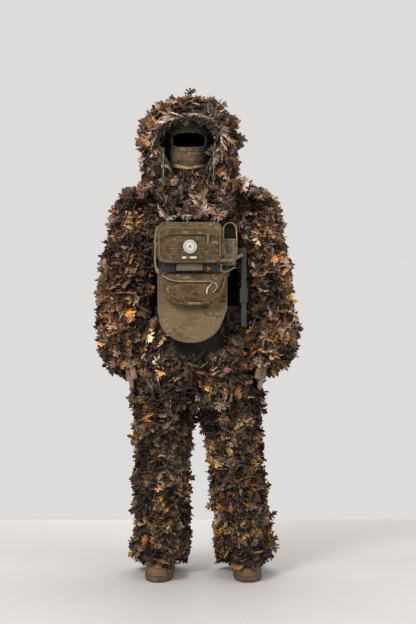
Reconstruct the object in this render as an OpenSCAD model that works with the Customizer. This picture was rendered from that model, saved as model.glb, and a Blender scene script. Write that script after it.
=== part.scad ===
// Leaf ghillie suit, set out in the shape it takes when worn: hooded jacket with an
// open front and shoulder cape, trousers, boots, gloves, balaclava and a chest rig.
// Millimetres. +Z up, front towards -Y, left and right as seen from the front.

/* [Cloth] */
// Thickness of the backing cloth
cloth_t = 3; // [2.5:0.5:3.5]
// Thickness of webbing and pouch walls
wall_t = 3; // [2.5:0.5:3.5]

/* [Leaves] */
// Length of one cut leaf
leaf_len = 82; // [70:1:86]
// Width of one cut leaf
leaf_w = 58; // [46:1:62]
// Thickness of the leaf cloth
leaf_t = 0.8; // [0.6:0.1:1.2]
// How far each leaf tip stands out from the cloth, in degrees
leaf_flare = 20; // [10:1:21]

/* [Hood] */
// Width scale of the hood
hood_w = 1.0; // [0.97:0.01:1.03]
// Hood centre, sideways from the middle of the suit
hood_x = -35; // [-38:1:-30]

/* [Chest rig] */
// Width of the main pouch
pouch_w = 233; // [215:1:235]
// Height of the main pouch
pouch_h = 145; // [135:1:148]
// Depth of the fixed half of the main pouch
pouch_d = 50; // [44:1:52]
// Depth of the lid half of the main pouch
lid_d = 22; // [18:1:24]
// Depth of the lower pouch
lower_d = 52; // [44:1:54]
// Diameter of the round badge
badge_d = 54; // [44:1:58]

/* [Hood cord] */
// Diameter of the hood drawcord
cord_d = 4; // [3.5:0.1:4.5]
// Length that hangs out of the hood hem
cord_len = 150; // [130:1:155]

/* [Hidden] */
place = [8, 19.1, 0];   // puts the middle of the outer box over the origin
N = 24;                 // columns round a shell
rig_x = -22;            // middle of the chest rig
pouch_x = -28;          // middle of the main pouch
apron_x = -20;          // middle of the apron and the lower pouch
arm_x = -8;             // middle between the arms
pouch_z = 1182;         // underside of the main pouch
pouch_y = -178;         // back of the main pouch
body_f = pouch_y - pouch_d;          // front of the fixed half
lid_f = body_f - 1 - lid_d;          // front of the lid
knee_z = 470;
hip_z = 620;
elbow_z = 1100;
shoulder_z = 1375;

camo_dark = [0.17, 0.18, 0.13];
camo_tan = [0.45, 0.38, 0.26];
leaf_brown = [0.30, 0.19, 0.12];
boot_tan = [0.55, 0.43, 0.31];
black_web = [0.08, 0.08, 0.08];

// ---------- closed shells from rings ----------
// A ring is [z, centre x, centre y, half width, half depth, rise at the back, roundness].
function rise(r) = len(r) > 5 ? r[5] : 0;
function ex(r) = len(r) > 6 ? r[6] : 2;
function sgn(v) = v < 0 ? -1 : 1;
function pt(r, a, t = 0, dz = 0) = let (e = 2 / ex(r), c = cos(a), s = sin(a))
  [r[1] + (r[3] - t) * sgn(c) * pow(abs(c), e), r[2] + (r[4] - t) * sgn(s) * pow(abs(s), e), r[0] + rise(r) * s + dz];
function quad(a, b, c, d) = [[a, b, c], [a, c, d]];
function inhole(h, i, j) = len([for (k = h) if (i >= k[0] && i < k[1] && j >= k[2] && j < k[3]) 1]) > 0;

// rings go up; holes are [ring from, ring to, column from, column to]; columns run from +X to the back
module shell(rings, t = cloth_t, lo = false, hi = false, holes = [], n = N) {
  m = len(rings);
  pts = concat(
    [for (i = [0:m - 1], j = [0:n - 1]) pt(rings[i], 360 * j / n)],
    [for (i = [0:m - 1], j = [0:n - 1]) pt(rings[i], 360 * j / n, t, hi && i == m - 1 ? -t : lo && i == 0 ? t : 0)]);
  o = function (i, j) i * n + (j % n);
  q = function (i, j) m * n + i * n + (j % n);
  on = function (i, j) i >= 0 && i < m - 1 && !inhole(holes, i, (j + n) % n);
  cells = [for (i = [0:m - 2], j = [0:n - 1]) if (on(i, j)) [i, j]];
  tri = [for (c = cells) let (i = c[0], j = c[1]) for (f = concat(
      quad(o(i, j), o(i + 1, j), o(i + 1, j + 1), o(i, j + 1)),
      quad(q(i, j), q(i, j + 1), q(i + 1, j + 1), q(i + 1, j)),
      on(i, j - 1) ? [] : quad(q(i, j), q(i + 1, j), o(i + 1, j), o(i, j)),
      on(i, j + 1) ? [] : quad(o(i, j + 1), o(i + 1, j + 1), q(i + 1, j + 1), q(i, j + 1)),
      on(i - 1, j) || (i == 0 && lo) ? [] : quad(o(i, j), o(i, j + 1), q(i, j + 1), q(i, j)),
      on(i + 1, j) || (i == m - 2 && hi) ? [] : quad(q(i + 1, j), q(i + 1, j + 1), o(i + 1, j + 1), o(i + 1, j)))) f];
  caps = concat(
    hi ? [[for (j = [n - 1:-1:0]) o(m - 1, j)], [for (j = [0:n - 1]) q(m - 1, j)]] : [],
    lo ? [[for (j = [0:n - 1]) o(0, j)], [for (j = [n - 1:-1:0]) q(0, j)]] : []);
  polyhedron(points = pts, faces = concat(tri, caps), convexity = 8);
}

// round tube along points
function unit(v) = v / norm(v);
module sweep(p, r, n = 8) {
  m = len(p);
  tan = [for (i = [0:m - 1]) unit(p[min(i + 1, m - 1)] - p[max(i - 1, 0)])];
  ref = [0.31, 0.95, 0.07];
  pts = [for (i = [0:m - 1]) let (u = unit(cross(tan[i], ref)), v = cross(tan[i], u))
    for (j = [0:n - 1]) p[i] + r * (cos(360 * j / n) * u + sin(360 * j / n) * v)];
  tri = [for (i = [0:m - 2], j = [0:n - 1]) let (a = i * n + j, b = i * n + (j + 1) % n) for (f = quad(a, a + n, b + n, b)) f];
  polyhedron(points = pts, faces = concat(tri, [[for (j = [0:n - 1]) j], [for (j = [n - 1:-1:0]) (m - 1) * n + j]]), convexity = 6);
}

// rounded rectangle outline in x and z
function rr(w, h, r) = [for (k = [0:3], a = [0:22.5:90]) let (s = [[1, 1], [-1, 1], [-1, -1], [1, -1]][k])
  [s[0] * (w / 2 - r) + r * cos(a + 90 * k), s[1] * (h / 2 - r) + r * sin(a + 90 * k)]];
module slab(y0, y1) { translate([0, y1, 0]) rotate([90, 0, 0]) linear_extrude(y1 - y0) children(); }

// ---------- leaves ----------
half_leaf = [[0.05, 0], [0.10, 0.16], [0.36, 0.14], [0.22, 0.30], [0.50, 0.40], [0.27, 0.52], [0.40, 0.70], [0.16, 0.74], [0.10, 0.88]];
module leaf(k = 1) {
  linear_extrude(leaf_t) scale([leaf_w * k, leaf_len * k, 1])
    polygon(concat([for (p = half_leaf) [p[0], -p[1]]], [[0, -1]], [for (i = [len(half_leaf) - 1:-1:0]) [-half_leaf[i][0], -half_leaf[i][1]]]));
}
// a leaf on the outside of a ring at angle a, its stem at the ring's height and its tip swung out by fl degrees
module hung(r, a, k = 1, off = 3, fl = leaf_flare) {
  p = pt(r, a);
  q0 = pt(r, a - 1);
  q1 = pt(r, a + 1);
  head = atan2(q1[1] - q0[1], q1[0] - q0[0]);
  translate(p) rotate([0, 0, head + 180]) translate([0, off, 0]) rotate([90 + fl, 0, 0]) leaf(k);
}
// rows of leaves; row is [ring, first angle, last angle, how many]
module rows(list, k = 1, off = 3, fl = leaf_flare) {
  for (w = list) for (i = [0:w[3] - 1]) hung(w[0], w[1] + (w[2] - w[1]) * i / max(1, w[3] - 1), k, off, fl);
}
function mix(a, b, f) = [for (i = [0:6]) (i < len(a) ? a[i] : i == 6 ? 2 : 0) * (1 - f) + (i < len(b) ? b[i] : i == 6 ? 2 : 0) * f];
function at(rings, z) = let (i = max([for (k = [0:len(rings) - 2]) if (rings[k][0] <= z) k])) 
  let (m = mix(rings[i], rings[i + 1], (z - rings[i][0]) / (rings[i + 1][0] - rings[i][0]))) [z, m[1], m[2], m[3], m[4], 0, m[6]];

// ---------- trousers ----------
seat_r = [[660, -5, 8, 228, 138, 0, 2.6], [685, -5, 9, 218, 136, 0, 2.6], [720, -5, 10, 204, 134, 0, 2.6],
  [760, -5, 11, 188, 131, 0, 2.6], [800, -5, 12, 178, 129, 0, 2.6], [900, -5, 12, 168, 126, 0, 2.6], [985, -5, 10, 160, 118, 0, 2.6]];
module trouser_seat() color(camo_dark) shell(seat_r);
module waistband() color(black_web) shell([[985, -5, 10, 162, 120, 0, 2.6], [1022, -5, 10, 160, 118, 0, 2.6]], 5);

// leg centre lines: x at a height
function leg_x(s, z) = s < 0 ? -130 - (672 - z) * 0.022 : 119 + (672 - z) * 0.098;
function thigh_r(s) = [[knee_z + 34, leg_x(s, 500), 2, 88, 90, 49], [550, leg_x(s, 550), 5, 89, 91, 20], [610, leg_x(s, 610), 7, 90, 90], [672, leg_x(s, 672), 8, 86, 84]];
function shin_r(s) = [[76, leg_x(s, 76), 14, 84, 92, -34], [130, leg_x(s, 130), 15, 87, 93, -16], [190, leg_x(s, 190), 15, 87, 91], [300, leg_x(s, 300), 10, 82, 84], [400, leg_x(s, 400), 4, 78, 79],
  [knee_z + 36, leg_x(s, 500), 2, 77, 78, 36]];
module thigh(s) color(camo_dark) shell(thigh_r(s));
module shin(s) color(camo_dark) shell(shin_r(s));
module ankle_cuff(s) color(camo_dark * 1.2) shell([[68, leg_x(s, 68), 14, 78, 85, -40], [116, leg_x(s, 116), 14, 80, 88, -20]], 2);

// ---------- boots ----------
boot_cx = [leg_x(-1, 40) - 2, leg_x(1, 40) + 6];
module boot_upper(s) color(boot_tan) translate([s < 0 ? boot_cx[0] : boot_cx[1], 0, 0])
  shell([[28, 0, -52, 51, 146, 0, 2.4], [44, 0, -52, 52, 145, 0, 2.4], [62, 0, -42, 50, 132, 0, 2.3], [82, 0, -14, 47, 100, 0, 2.2],
    [112, 0, 18, 45, 64], [150, 0, 24, 46, 58], [212, 0, 24, 50, 60]], 4);
sole_pts = [for (a = [0:15:345]) [(a > 200 && a < 340 ? 55 : 50) * sgn(cos(a)) * pow(abs(cos(a)), 0.8), -52 + 148 * sgn(sin(a)) * pow(abs(sin(a)), 0.8)]];
module boot_sole(s) color([0.4, 0.3, 0.2]) translate([s < 0 ? boot_cx[0] : boot_cx[1], 0, 0]) difference() {
  linear_extrude(27.7) polygon(sole_pts);
  for (y = [-170:22:70]) translate([-60, y, -1]) cube([120, 6, 5]);
}

// ---------- jacket ----------
jacket_r = [[790, -8, 15, 190, 150, 0, 2.6], [850, -8, 15, 196, 148, 0, 2.6], [920, -8, 15, 200, 145, 0, 2.6], [1000, -8, 14, 200, 142, 0, 2.6], [1100, -8, 12, 193, 138, 0, 2.6],
  [1200, -8, 10, 181, 136, 0, 2.6], [1300, -8, 6, 166, 134, 0, 2.6], [1390, -10, 4, 148, 128, 0, 2.6]];
module jacket_body() color(camo_dark) shell(jacket_r, holes = [[0, 7, 14, 23]]);
// the cape lies on both shoulders and drops in a flap at the chest and at the back
cape_r = [[1449, arm_x, 0, 268, 186, 0, 2.4], [1458, arm_x - 6, 0, 222, 170, 0, 2.3], [1468, -24, 0, 172, 148, 0, 2.2], [1480, -30, 2, 134, 122, 0, 2.1], [1494, -34, 2, 104, 100]];
cape_drop = [[-92, -128], [-62, -80], [-30, -36], [-8, -10], [0, 0]];
function flap(x) = min(1, max(0, (158 - abs(x - arm_x)) / 54));
module shoulder_cape() color(camo_dark) {
  m = len(cape_r);
  drop = function (p, i) p + [0, 0, flap(p[0]) * cape_drop[i][p[1] > 0 ? 1 : 0]];
  pts = concat([for (i = [0:m - 1], j = [0:N - 1]) drop(pt(cape_r[i], 360 * j / N), i)],
    [for (i = [0:m - 1], j = [0:N - 1]) drop(pt(cape_r[i], 360 * j / N, i < m - 1 ? 1.5 : cloth_t), i) - [0, 0, i < m - 1 ? cloth_t : 0]]);
  o = function (i, j) i * N + (j % N);
  q = function (i, j) m * N + i * N + (j % N);
  polyhedron(points = pts, faces = [for (j = [0:N - 1]) for (f = concat([for (i = [0:m - 2]) for (g = concat(
      quad(o(i, j), o(i + 1, j), o(i + 1, j + 1), o(i, j + 1)),
      quad(q(i, j), q(i, j + 1), q(i + 1, j + 1), q(i + 1, j)))) g],
    quad(o(0, j), o(0, j + 1), q(0, j + 1), q(0, j)), quad(q(m - 1, j), q(m - 1, j + 1), o(m - 1, j + 1), o(m - 1, j)))) f], convexity = 8);
}
module front_edge_binding() color([0.28, 0.32, 0.22]) for (e = [[205, -1, -11], [350, 3, -14]])
  sweep([for (z = [796:60:1325]) pt(at(jacket_r, z), e[0]) + [e[1], e[2], 0]], 4);

// arm centre lines, distance out from the middle
function arm_r_up(s) = let (c = function (d) arm_x + s * d) [[elbow_z + 36, c(272), 0, 66, 66, -42], [1200, c(259), 0, 64, 65, -10], [1290, c(244), 0, 62, 64], [shoulder_z, c(230), 0, 61, 64],
  [shoulder_z + 30, c(227), 0, 54, 56], [shoulder_z + 50, c(223), 0, 38, 40], [shoulder_z + 60, c(221), 0, 18, 19]];
function arm_r_lo(s) = let (c = function (d) arm_x + s * d) [[820, c(257), -13, 58, 61, -22], [860, c(269), -8, 61, 63], [930, c(278), -3, 64, 64], [1010, c(279), 0, 63, 63], [1060, c(275), 0, 58, 58], [elbow_z + 26, c(272), 0, 55, 55, -28]];
module sleeve_upper(s) color(camo_dark) shell(arm_r_up(s), hi = true);
module sleeve_lower(s) color(camo_dark) shell(arm_r_lo(s));
module sleeve_cuff(s) color(camo_dark * 1.2) shell([[800, arm_x + s * 253, -18, 50, 53, -22], [819.6, arm_x + s * 257, -13, 57.5, 60.5, -22]]);
module glove(s) color(boot_tan) {
  shell([[738, arm_x + s * 247, -52, 15, 34], [752, arm_x + s * 248, -48, 19, 41], [780, arm_x + s * 249, -34, 22, 40],
    [815, arm_x + s * 253, -20, 27, 32], [850, arm_x + s * 258, -13, 31, 34]], 2.5, lo = true, n = 16);
  for (f = [0:3]) sweep([for (i = [0:3]) [arm_x + s * (247 - 2 * i), -80 + 18 * f - 3 * i * i + (f == 3 ? 2 * i : 0), 752 - [16, 15, 15.5, 17][f] * i + i * i]], 9.4 - 0.3 * f, 8);
  sweep([[arm_x + s * 246, -54, 796], [arm_x + s * 240, -76, 786], [arm_x + s * 234, -91, 768], [arm_x + s * 230, -98, 748]], 11, 8);
}

// ---------- hood ----------
hood_r = [[1498, hood_x, 8, 142 * hood_w, 150], [1545, hood_x, 8, 152 * hood_w, 158], [1600, hood_x, 8, 161 * hood_w, 166], [1650, hood_x, 8, 165 * hood_w, 170], [1700, hood_x, 8, 158 * hood_w, 164], [1742, hood_x, 8, 139 * hood_w, 145],
  [1776, hood_x, 8, 108 * hood_w, 113], [1799, hood_x, 8, 72 * hood_w, 76], [1811, hood_x, 8, 30 * hood_w, 32]];
module hood_shell() color(camo_dark) shell(hood_r, hi = true, holes = [[0, 2, 16, 20], [2, 5, 15, 21]]);
// the rim follows the opening: narrow at the chin, wide at the brow, arched at the top
rim_half = concat([for (z = [1503:37:1577]) pt(at(hood_r, z), 240) + [4, -5, 0]], [pt(at(hood_r, 1592), 238) + [2, -9.5, 0], pt(at(hood_r, 1608), 233) + [-2.5, -9.5, 0]],
  [for (z = [1632:34:1700]) pt(at(hood_r, z), 225) + [4, -7, 0]], [pt(at(hood_r, 1724), 231) + [2, -4, 0]],
  [for (a = [243:13.5:270]) pt(at(hood_r, 1733), a) + [0, -4, 0]]);
rim_edge = concat(rim_half, [for (i = [len(rim_half) - 2:-1:0]) [2 * hood_x - rim_half[i][0], rim_half[i][1], rim_half[i][2]]]);
module hood_rim() color([0.28, 0.32, 0.22]) sweep(rim_edge, 4.5, 8);
// each cord comes out of an eyelet on the rim and hangs straight down under its own weight
function cord_at(s) = [hood_x + s * 94, -150, 1606];
module hem_eyelets() color(black_web) for (s = [-1, 1]) translate(cord_at(s)) difference() {
  translate([0, 0, -5]) cylinder(r = 6, h = 12, $fn = 32);
  translate([0, 0, -6]) cylinder(r = cord_d / 2 + 0.4, h = 14, $fn = 24);
}
function cord_pts(s) = [for (i = [0:17]) cord_at(s) + [0, 0, -cord_len * i / 17]];
module hood_cord(s) color([0.22, 0.26, 0.18]) sweep(cord_pts(s), cord_d / 2, 8);
module cord_lock(s) color(black_web) translate(cord_pts(s)[12]) {
  difference() { translate([0, 0, -9]) cylinder(r = 7.5, h = 18, $fn = 32); translate([0, 0, -12]) cylinder(r = cord_d / 2 + 0.9, h = 24, $fn = 24); }
}

// ---------- head wear ----------
head_r = [[1502, hood_x, 2, 66, 74], [1536, hood_x, -2, 64, 76], [1556, hood_x, -8, 68, 86], [1584, hood_x, -8, 73, 94], [1632, hood_x, -6, 75, 96], [1678, hood_x, -5, 76, 97], [1710, hood_x, -4, 73, 92],
  [1740, hood_x, -2, 62, 78], [1760, hood_x, 0, 44, 56], [1769, hood_x, 0, 20, 26]];
module balaclava() color(camo_dark * 1.2) shell(head_r, 2.5, hi = true, holes = [[4, 5, 15, 21]]);
module cap() color([0.2, 0.24, 0.15]) shell([[1686, hood_x, -5, 79.5, 100.5], [1712, hood_x, -4, 78, 97.5], [1744, hood_x, -2, 67, 83], [1764, hood_x, 0, 49, 61], [1775, hood_x, 0, 24, 30]], 2.2, hi = true);
module chin_strap() color([0.62, 0.47, 0.25]) shell([[1541, hood_x, -5, 69, 84.5, -3], [1553, hood_x, -7, 71.5, 90, -3]], 1.5);

// ---------- chest rig ----------
module carrier_front() color(black_web) translate([rig_x, 0, 1260]) slab(-150, -128) polygon(rr(250, 280, 34));
module carrier_back() color(black_web) translate([-14, 0, 1250]) slab(94, 113) polygon(rr(180, 240, 34));
strap_arc = [[-127, 1395], [-119, 1420], [-92, 1444], [-50, 1455], [0, 1458], [50, 1450], [80, 1432], [96, 1405], [101, 1375]];
module shoulder_straps() color(black_web) for (s = [-1, 1]) translate([-14 + s * 58 - 22, 0, 0]) rotate([90, 0, 90]) linear_extrude(44)
  polygon(concat(strap_arc, [for (i = [len(strap_arc) - 1:-1:0]) let (p = strap_arc[i], q = unit([p[0] * 0.6, p[1] - 1330])) [p[0] - 6 * q[0], p[1] - 6 * q[1]]]));
module cummerbund() color(black_web) shell([[1135, -16, -6, 138, 130, 0, 3.5], [1265, -16, -6, 134, 128, 0, 3.5]], 4, holes = [[0, 1, 15, 21], [0, 1, 3, 9]]);
module open_box(x0, x1, y0, y1, z0, z1, t = 2.5) difference() {
  translate([x0, y0, z0]) cube([x1 - x0, y1 - y0, z1 - z0]);
  translate([x0 + t, y0 + t, z0 + t]) cube([x1 - x0 - 2 * t, y1 - y0 - 2 * t, z1 - z0]);
}
module magazine_pouches() color([0.1, 0.11, 0.1]) for (i = [0:2]) open_box(-122 + 66 * i, -62 + 66 * i, -178, -150, 1186, 1350);
module main_pouch_body() color(camo_tan) translate([pouch_x, 0, pouch_z + pouch_h / 2]) difference() {
  slab(body_f, pouch_y) polygon(rr(pouch_w, pouch_h, 26));
  slab(body_f - 1, pouch_y - wall_t) polygon(rr(pouch_w - 2 * wall_t, pouch_h - 2 * wall_t, 23));
}
module main_pouch_lid() color(camo_tan) translate([pouch_x, 0, pouch_z + pouch_h / 2]) difference() {
  slab(lid_f, body_f - 1) polygon(rr(pouch_w, pouch_h, 26));
  slab(lid_f + wall_t, body_f) polygon(rr(pouch_w - 2 * wall_t, pouch_h - 2 * wall_t, 23));
}
module lid_pocket() color(camo_tan * 0.95) translate([pouch_x, 0, pouch_z + 54]) slab(lid_f - 2.2, lid_f) polygon(rr(pouch_w - 26, 92, 10));
module round_badge() color([0.85, 0.82, 0.74]) translate([pouch_x, lid_f - 2.2, pouch_z + 56]) rotate([90, 0, 0]) cylinder(d = badge_d, h = 1.6, $fn = 64);
module name_tape() color([0.8, 0.75, 0.7]) translate([pouch_x - 29, lid_f - 3.2, pouch_z + 14]) cube([52, 1, 8]);
module lid_zip_slider() color([0.45, 0.38, 0.25]) translate([pouch_x + 68, 0, pouch_z + 105]) {
  translate([-4, lid_f - 6, -3]) cube([8, 5.3, 8]);
  translate([-2.5, lid_f - 8, -40]) cube([5, 2, 44]);
}
module bottom_straps() translate([pouch_x, 0, 0]) {
  color(black_web) for (x = [-104, 62]) translate([x, -227, 1168]) cube([42, 12, 14]);
  color(camo_tan) translate([-61, -226, 1168]) cube([122, 10, 14]);
}
lower_pts = [[-123, 1145], [-123, 1096], [-111, 1066], [-82, 1036], [-57, 1024], [57, 1023], [80, 1032], [111, 1062], [123, 1094], [123, 1145]];
lower_side = [[-170, 1145], [-170, 1023], [-170 - lower_d * 0.7, 1023], [-166 - lower_d, 1048], [-170 - lower_d, 1088], [-162 - lower_d, 1125], [-154 - lower_d, 1145]];
module lower_solid(t) intersection() {
  slab(-170 - lower_d, -170) translate([0, 1084]) scale([1 - t / 123, 1 - t / 61]) translate([0, -1084]) polygon(lower_pts);
  translate([-200, 0, 0]) rotate([90, 0, 90]) linear_extrude(400) translate([-194, 1084]) scale([1 - t / 26, 1 - t / 61]) translate([194, -1084]) polygon(lower_side);
}
module lower_pouch() color(camo_tan) translate([apron_x, 0, 0]) {
  difference() {
    lower_solid(0);
    lower_solid(wall_t);
    translate([-92, -175 - lower_d, 1116]) cube([184, 22, 8]);
  }
  for (x = [-92, 72]) translate([x, -200, 1145]) cube([20, 8, 31]);
}
module lower_zip_slider() color([0.75, 0.72, 0.66]) translate([apron_x + 74, 0, 1120]) {
  translate([-4, -170 - lower_d - 3, -4]) cube([8, 8.2, 8]);
  translate([-2, -170 - lower_d - 4.6, -36]) cube([4, 1.6, 38]);
}
apron_pts = concat([[-128, 1166], [-128, 1010]], [for (a = [195:15:345]) [-6 + 118 * cos(a), 984 + 98 * sin(a)]], [[128, 1010], [128, 1166]]);
module apron_flap() color(camo_tan * 1.1) translate([apron_x, 0, 0]) slab(-166, -160) polygon(apron_pts);
radio_x = pouch_x + pouch_w / 2;
module radio_pouch() color(camo_tan * 0.8) open_box(radio_x, 141, -191, -153, 1172, 1272);
module retention_bungee() color([0.45, 0.38, 0.25]) sweep(concat([[radio_x + 7, -172, 1240], [radio_x + 7, -172, 1290]],
  [for (a = [150:-30:30]) [radio_x + 31 + 24 * cos(a), -172, 1306 + 26 * sin(a)]], [[143.6, -172, 1290], [143.6, -172, 1205]]), 2, 8);
module side_strap() color([0.2, 0.22, 0.18]) {
  translate([95, -152.5, 1222]) cube([86, 2.5, 18]);
  translate([162, -152.5, 1090]) cube([19, 2.5, 132]);
  difference() { translate([157, -157, 1052]) cube([29, 12, 37.5]); translate([161, -154.5, 1050]) cube([21, 7, 30]); }
}
module side_buckle() color([0.14, 0.15, 0.13]) {
  translate([162, -154, 1055]) cube([19, 6, 20]);
  translate([157, -157, 1034]) cube([29, 12, 17.7]);
  translate([162, -152.5, 944]) cube([19, 2.5, 90]);
}

// ---------- leaf cover ----------
module leaves_torso() color(leaf_brown) {
  rows([[at(jacket_r, 1300), 38, 142, 4], [at(jacket_r, 1212), 35, 145, 5], [at(jacket_r, 1124), 35, 145, 5], [at(jacket_r, 1036), 35, 145, 6], [at(jacket_r, 948), 35, 145, 6], [at(jacket_r, 862), 35, 145, 6]]);
  rows([[[1402, -10, 0, 215, 167, 0, 2.3], 250, 290, 3], [[1394, -10, 0, 215, 167, 0, 2.3], 70, 110, 3]], 0.8, 12.5, 39);
  rows([[at(seat_r, 774), 222, 318, 5], [at(seat_r, 860), 226, 314, 5]], 0.9);
}
module leaves_hood() color(leaf_brown) {
  rows([[at(hood_r, 1742), -20, 200, 7], [at(hood_r, 1664), -30, 210, 8], [at(hood_r, 1578), -30, 210, 7]], 0.92, 3, 26);
  rows([[at(hood_r, 1796), 30, 330, 5]], 0.85, 2, 140);
}
module leaves_arm_up(s) color(leaf_brown) {
  rows([[at(arm_r_up(s), 1335), s < 0 ? 156 : -24, s < 0 ? 204 : 24, 2]], 0.8);
  rows([[at(arm_r_up(s), 1242), s < 0 ? 80 : -100, s < 0 ? 280 : 100, 4]]);
}
module leaves_arm_lo(s) color(leaf_brown) rows([[at(arm_r_lo(s), 1050), s < 0 ? 80 : -100, s < 0 ? 280 : 100, 4], [at(arm_r_lo(s), 962), s < 0 ? 70 : -110, s < 0 ? 290 : 110, 5], [at(arm_r_lo(s), 876), s < 0 ? 70 : -110, s < 0 ? 290 : 110, 4]], fl = leaf_flare + 8);
module leaves_shin(s) color(leaf_brown) rows([[at(shin_r(s), 436), 210, 330, 3], [at(shin_r(s), 352), 0, 315, 8], [at(shin_r(s), 266), 22, 337, 8], [at(shin_r(s), 192), 0, 315, 8]]);

translate(place) {
  trouser_seat();
  waistband();
  thigh(-1);  // thigh_left
  thigh(1);  // thigh_right
  shin(-1);  // shin_left
  shin(1);  // shin_right
  ankle_cuff(-1);  // ankle_cuff_left
  ankle_cuff(1);  // ankle_cuff_right
  boot_upper(-1);  // boot_upper_left
  boot_upper(1);  // boot_upper_right
  boot_sole(-1);  // boot_sole_left
  boot_sole(1);  // boot_sole_right
  jacket_body();
  shoulder_cape();
  front_edge_binding();
  sleeve_upper(-1);  // sleeve_upper_left
  sleeve_upper(1);  // sleeve_upper_right
  sleeve_lower(-1);  // sleeve_lower_left
  sleeve_lower(1);  // sleeve_lower_right
  sleeve_cuff(-1);  // sleeve_cuff_left
  sleeve_cuff(1);  // sleeve_cuff_right
  hood_shell();
  hood_rim();
  hem_eyelets();
  hood_cord(-1);  // hood_cord_left
  hood_cord(1);  // hood_cord_right
  cord_lock(-1);  // cord_lock_left
  cord_lock(1);  // cord_lock_right
  cap();
  balaclava();
  chin_strap();
  glove(-1);  // glove_left
  glove(1);  // glove_right
  carrier_front();
  carrier_back();
  shoulder_straps();
  cummerbund();
  magazine_pouches();
  main_pouch_body();
  main_pouch_lid();
  lid_pocket();
  lid_zip_slider();
  round_badge();
  name_tape();
  bottom_straps();
  lower_pouch();
  lower_zip_slider();
  apron_flap();
  radio_pouch();
  retention_bungee();
  side_strap();
  side_buckle();
  leaves_torso();
  leaves_hood();
  leaves_arm_up(-1);  // leaves_upper_arm_left
  leaves_arm_up(1);  // leaves_upper_arm_right
  leaves_arm_lo(-1);  // leaves_forearm_left
  leaves_arm_lo(1);  // leaves_forearm_right
  leaves_shin(-1);  // leaves_shin_left
  leaves_shin(1);  // leaves_shin_right
}
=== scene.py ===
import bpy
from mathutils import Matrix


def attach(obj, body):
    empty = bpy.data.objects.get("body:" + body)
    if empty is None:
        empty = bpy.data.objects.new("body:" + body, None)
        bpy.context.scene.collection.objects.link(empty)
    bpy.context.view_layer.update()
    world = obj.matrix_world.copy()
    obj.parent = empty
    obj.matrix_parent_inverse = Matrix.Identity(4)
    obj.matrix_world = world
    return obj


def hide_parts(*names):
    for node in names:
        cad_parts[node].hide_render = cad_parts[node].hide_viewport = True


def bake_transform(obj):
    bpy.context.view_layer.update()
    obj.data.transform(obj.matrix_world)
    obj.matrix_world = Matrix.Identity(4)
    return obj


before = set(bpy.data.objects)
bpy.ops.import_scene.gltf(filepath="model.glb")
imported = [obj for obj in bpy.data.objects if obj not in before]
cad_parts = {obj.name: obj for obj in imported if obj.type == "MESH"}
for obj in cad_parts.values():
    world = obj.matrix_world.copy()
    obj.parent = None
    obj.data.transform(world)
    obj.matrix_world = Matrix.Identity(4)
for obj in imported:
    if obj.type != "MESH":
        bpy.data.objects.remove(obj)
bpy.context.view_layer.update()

import math

import bmesh
import bpy
import numpy as np
from mathutils import Vector
from mathutils.bvhtree import BVHTree
from mathutils.geometry import tessellate_polygon

rng = np.random.default_rng(20)
MM = 0.001
OFF = np.array([8.0, 19.1, 0.0])  # the CAD's own shift, in mm
HOOD_X, ARM_X, POUCH_X, APRON_X = -35.0, -8.0, -28.0, -20.0


def W(p):
    """Millimetres in the suit's own layout to metres in the row frame."""
    return (np.asarray(p, float) + OFF) * MM


# ---------------------------------------------------------------- camera, stage, light
cam_data = bpy.data.cameras.new("camera")
cam_data.lens, cam_data.sensor_width = 75.0, 36.0
cam = bpy.data.objects.new("camera", cam_data)
bpy.context.scene.collection.objects.link(cam)
cam.location = (0.046, -4.981, 1.0)
cam.rotation_euler = (math.radians(90), 0, 0)
bpy.context.scene.camera = cam


def link(o):
    bpy.context.scene.collection.objects.link(o)
    return o


def area_light(name, loc, target, size, power, colour=(1, 1, 1), size_y=None):
    d = bpy.data.lights.new(name, "AREA")
    d.energy, d.size, d.color = power, size, colour
    if size_y:
        d.shape, d.size_y = "RECTANGLE", size_y
    o = link(bpy.data.objects.new(name, d))
    o.location = loc
    o.rotation_euler = (Vector(target) - Vector(loc)).to_track_quat("-Z", "Y").to_euler()
    return o


area_light("key", (-2.3, -3.4, 3.7), (0, 0, 1.05), 1.5, 195, (1.0, 0.975, 0.94))
area_light("fill", (3.0, -2.6, 2.3), (0, 0, 1.0), 1.6, 52, (0.96, 0.98, 1.0))
area_light("top", (0.2, 0.9, 4.2), (0, 0, 1.2), 1.8, 70, (1.0, 0.98, 0.96))
world = bpy.data.worlds.new("world")
bpy.context.scene.world = world
world.use_nodes = True
world.node_tree.nodes["Background"].inputs[0].default_value = (0.725, 0.716, 0.700, 1)
world.node_tree.nodes["Background"].inputs[1].default_value = 1.0
bpy.context.scene.view_settings.view_transform = "Standard"


# ---------------------------------------------------------------- materials
def new_mat(name, rough=0.8, spec=0.25, sheen=0.0, metal=0.0, coat=0.0):
    m = bpy.data.materials.new(name)
    m.use_nodes = True
    b = m.node_tree.nodes["Principled BSDF"]
    b.inputs["Roughness"].default_value = rough
    b.inputs["Specular IOR Level"].default_value = spec
    b.inputs["Sheen Weight"].default_value = sheen
    b.inputs["Sheen Roughness"].default_value = 0.5
    b.inputs["Metallic"].default_value = metal
    b.inputs["Coat Weight"].default_value = coat
    return m, m.node_tree, b


def N(t, kind, props=None, **inputs):
    n = t.nodes.new(kind)
    for k, v in (props or {}).items():
        setattr(n, k, v)
    for k, v in inputs.items():
        k = k.replace("_", " ")
        if hasattr(v, "is_output"):
            t.links.new(v, n.inputs[k])
        else:
            n.inputs[k].default_value = v
    return n


def coords(t, rest=True):
    if rest:
        return N(t, "ShaderNodeAttribute", {"attribute_name": "rest"}).outputs["Vector"]
    return N(t, "ShaderNodeTexCoord").outputs["Object"]


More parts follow.
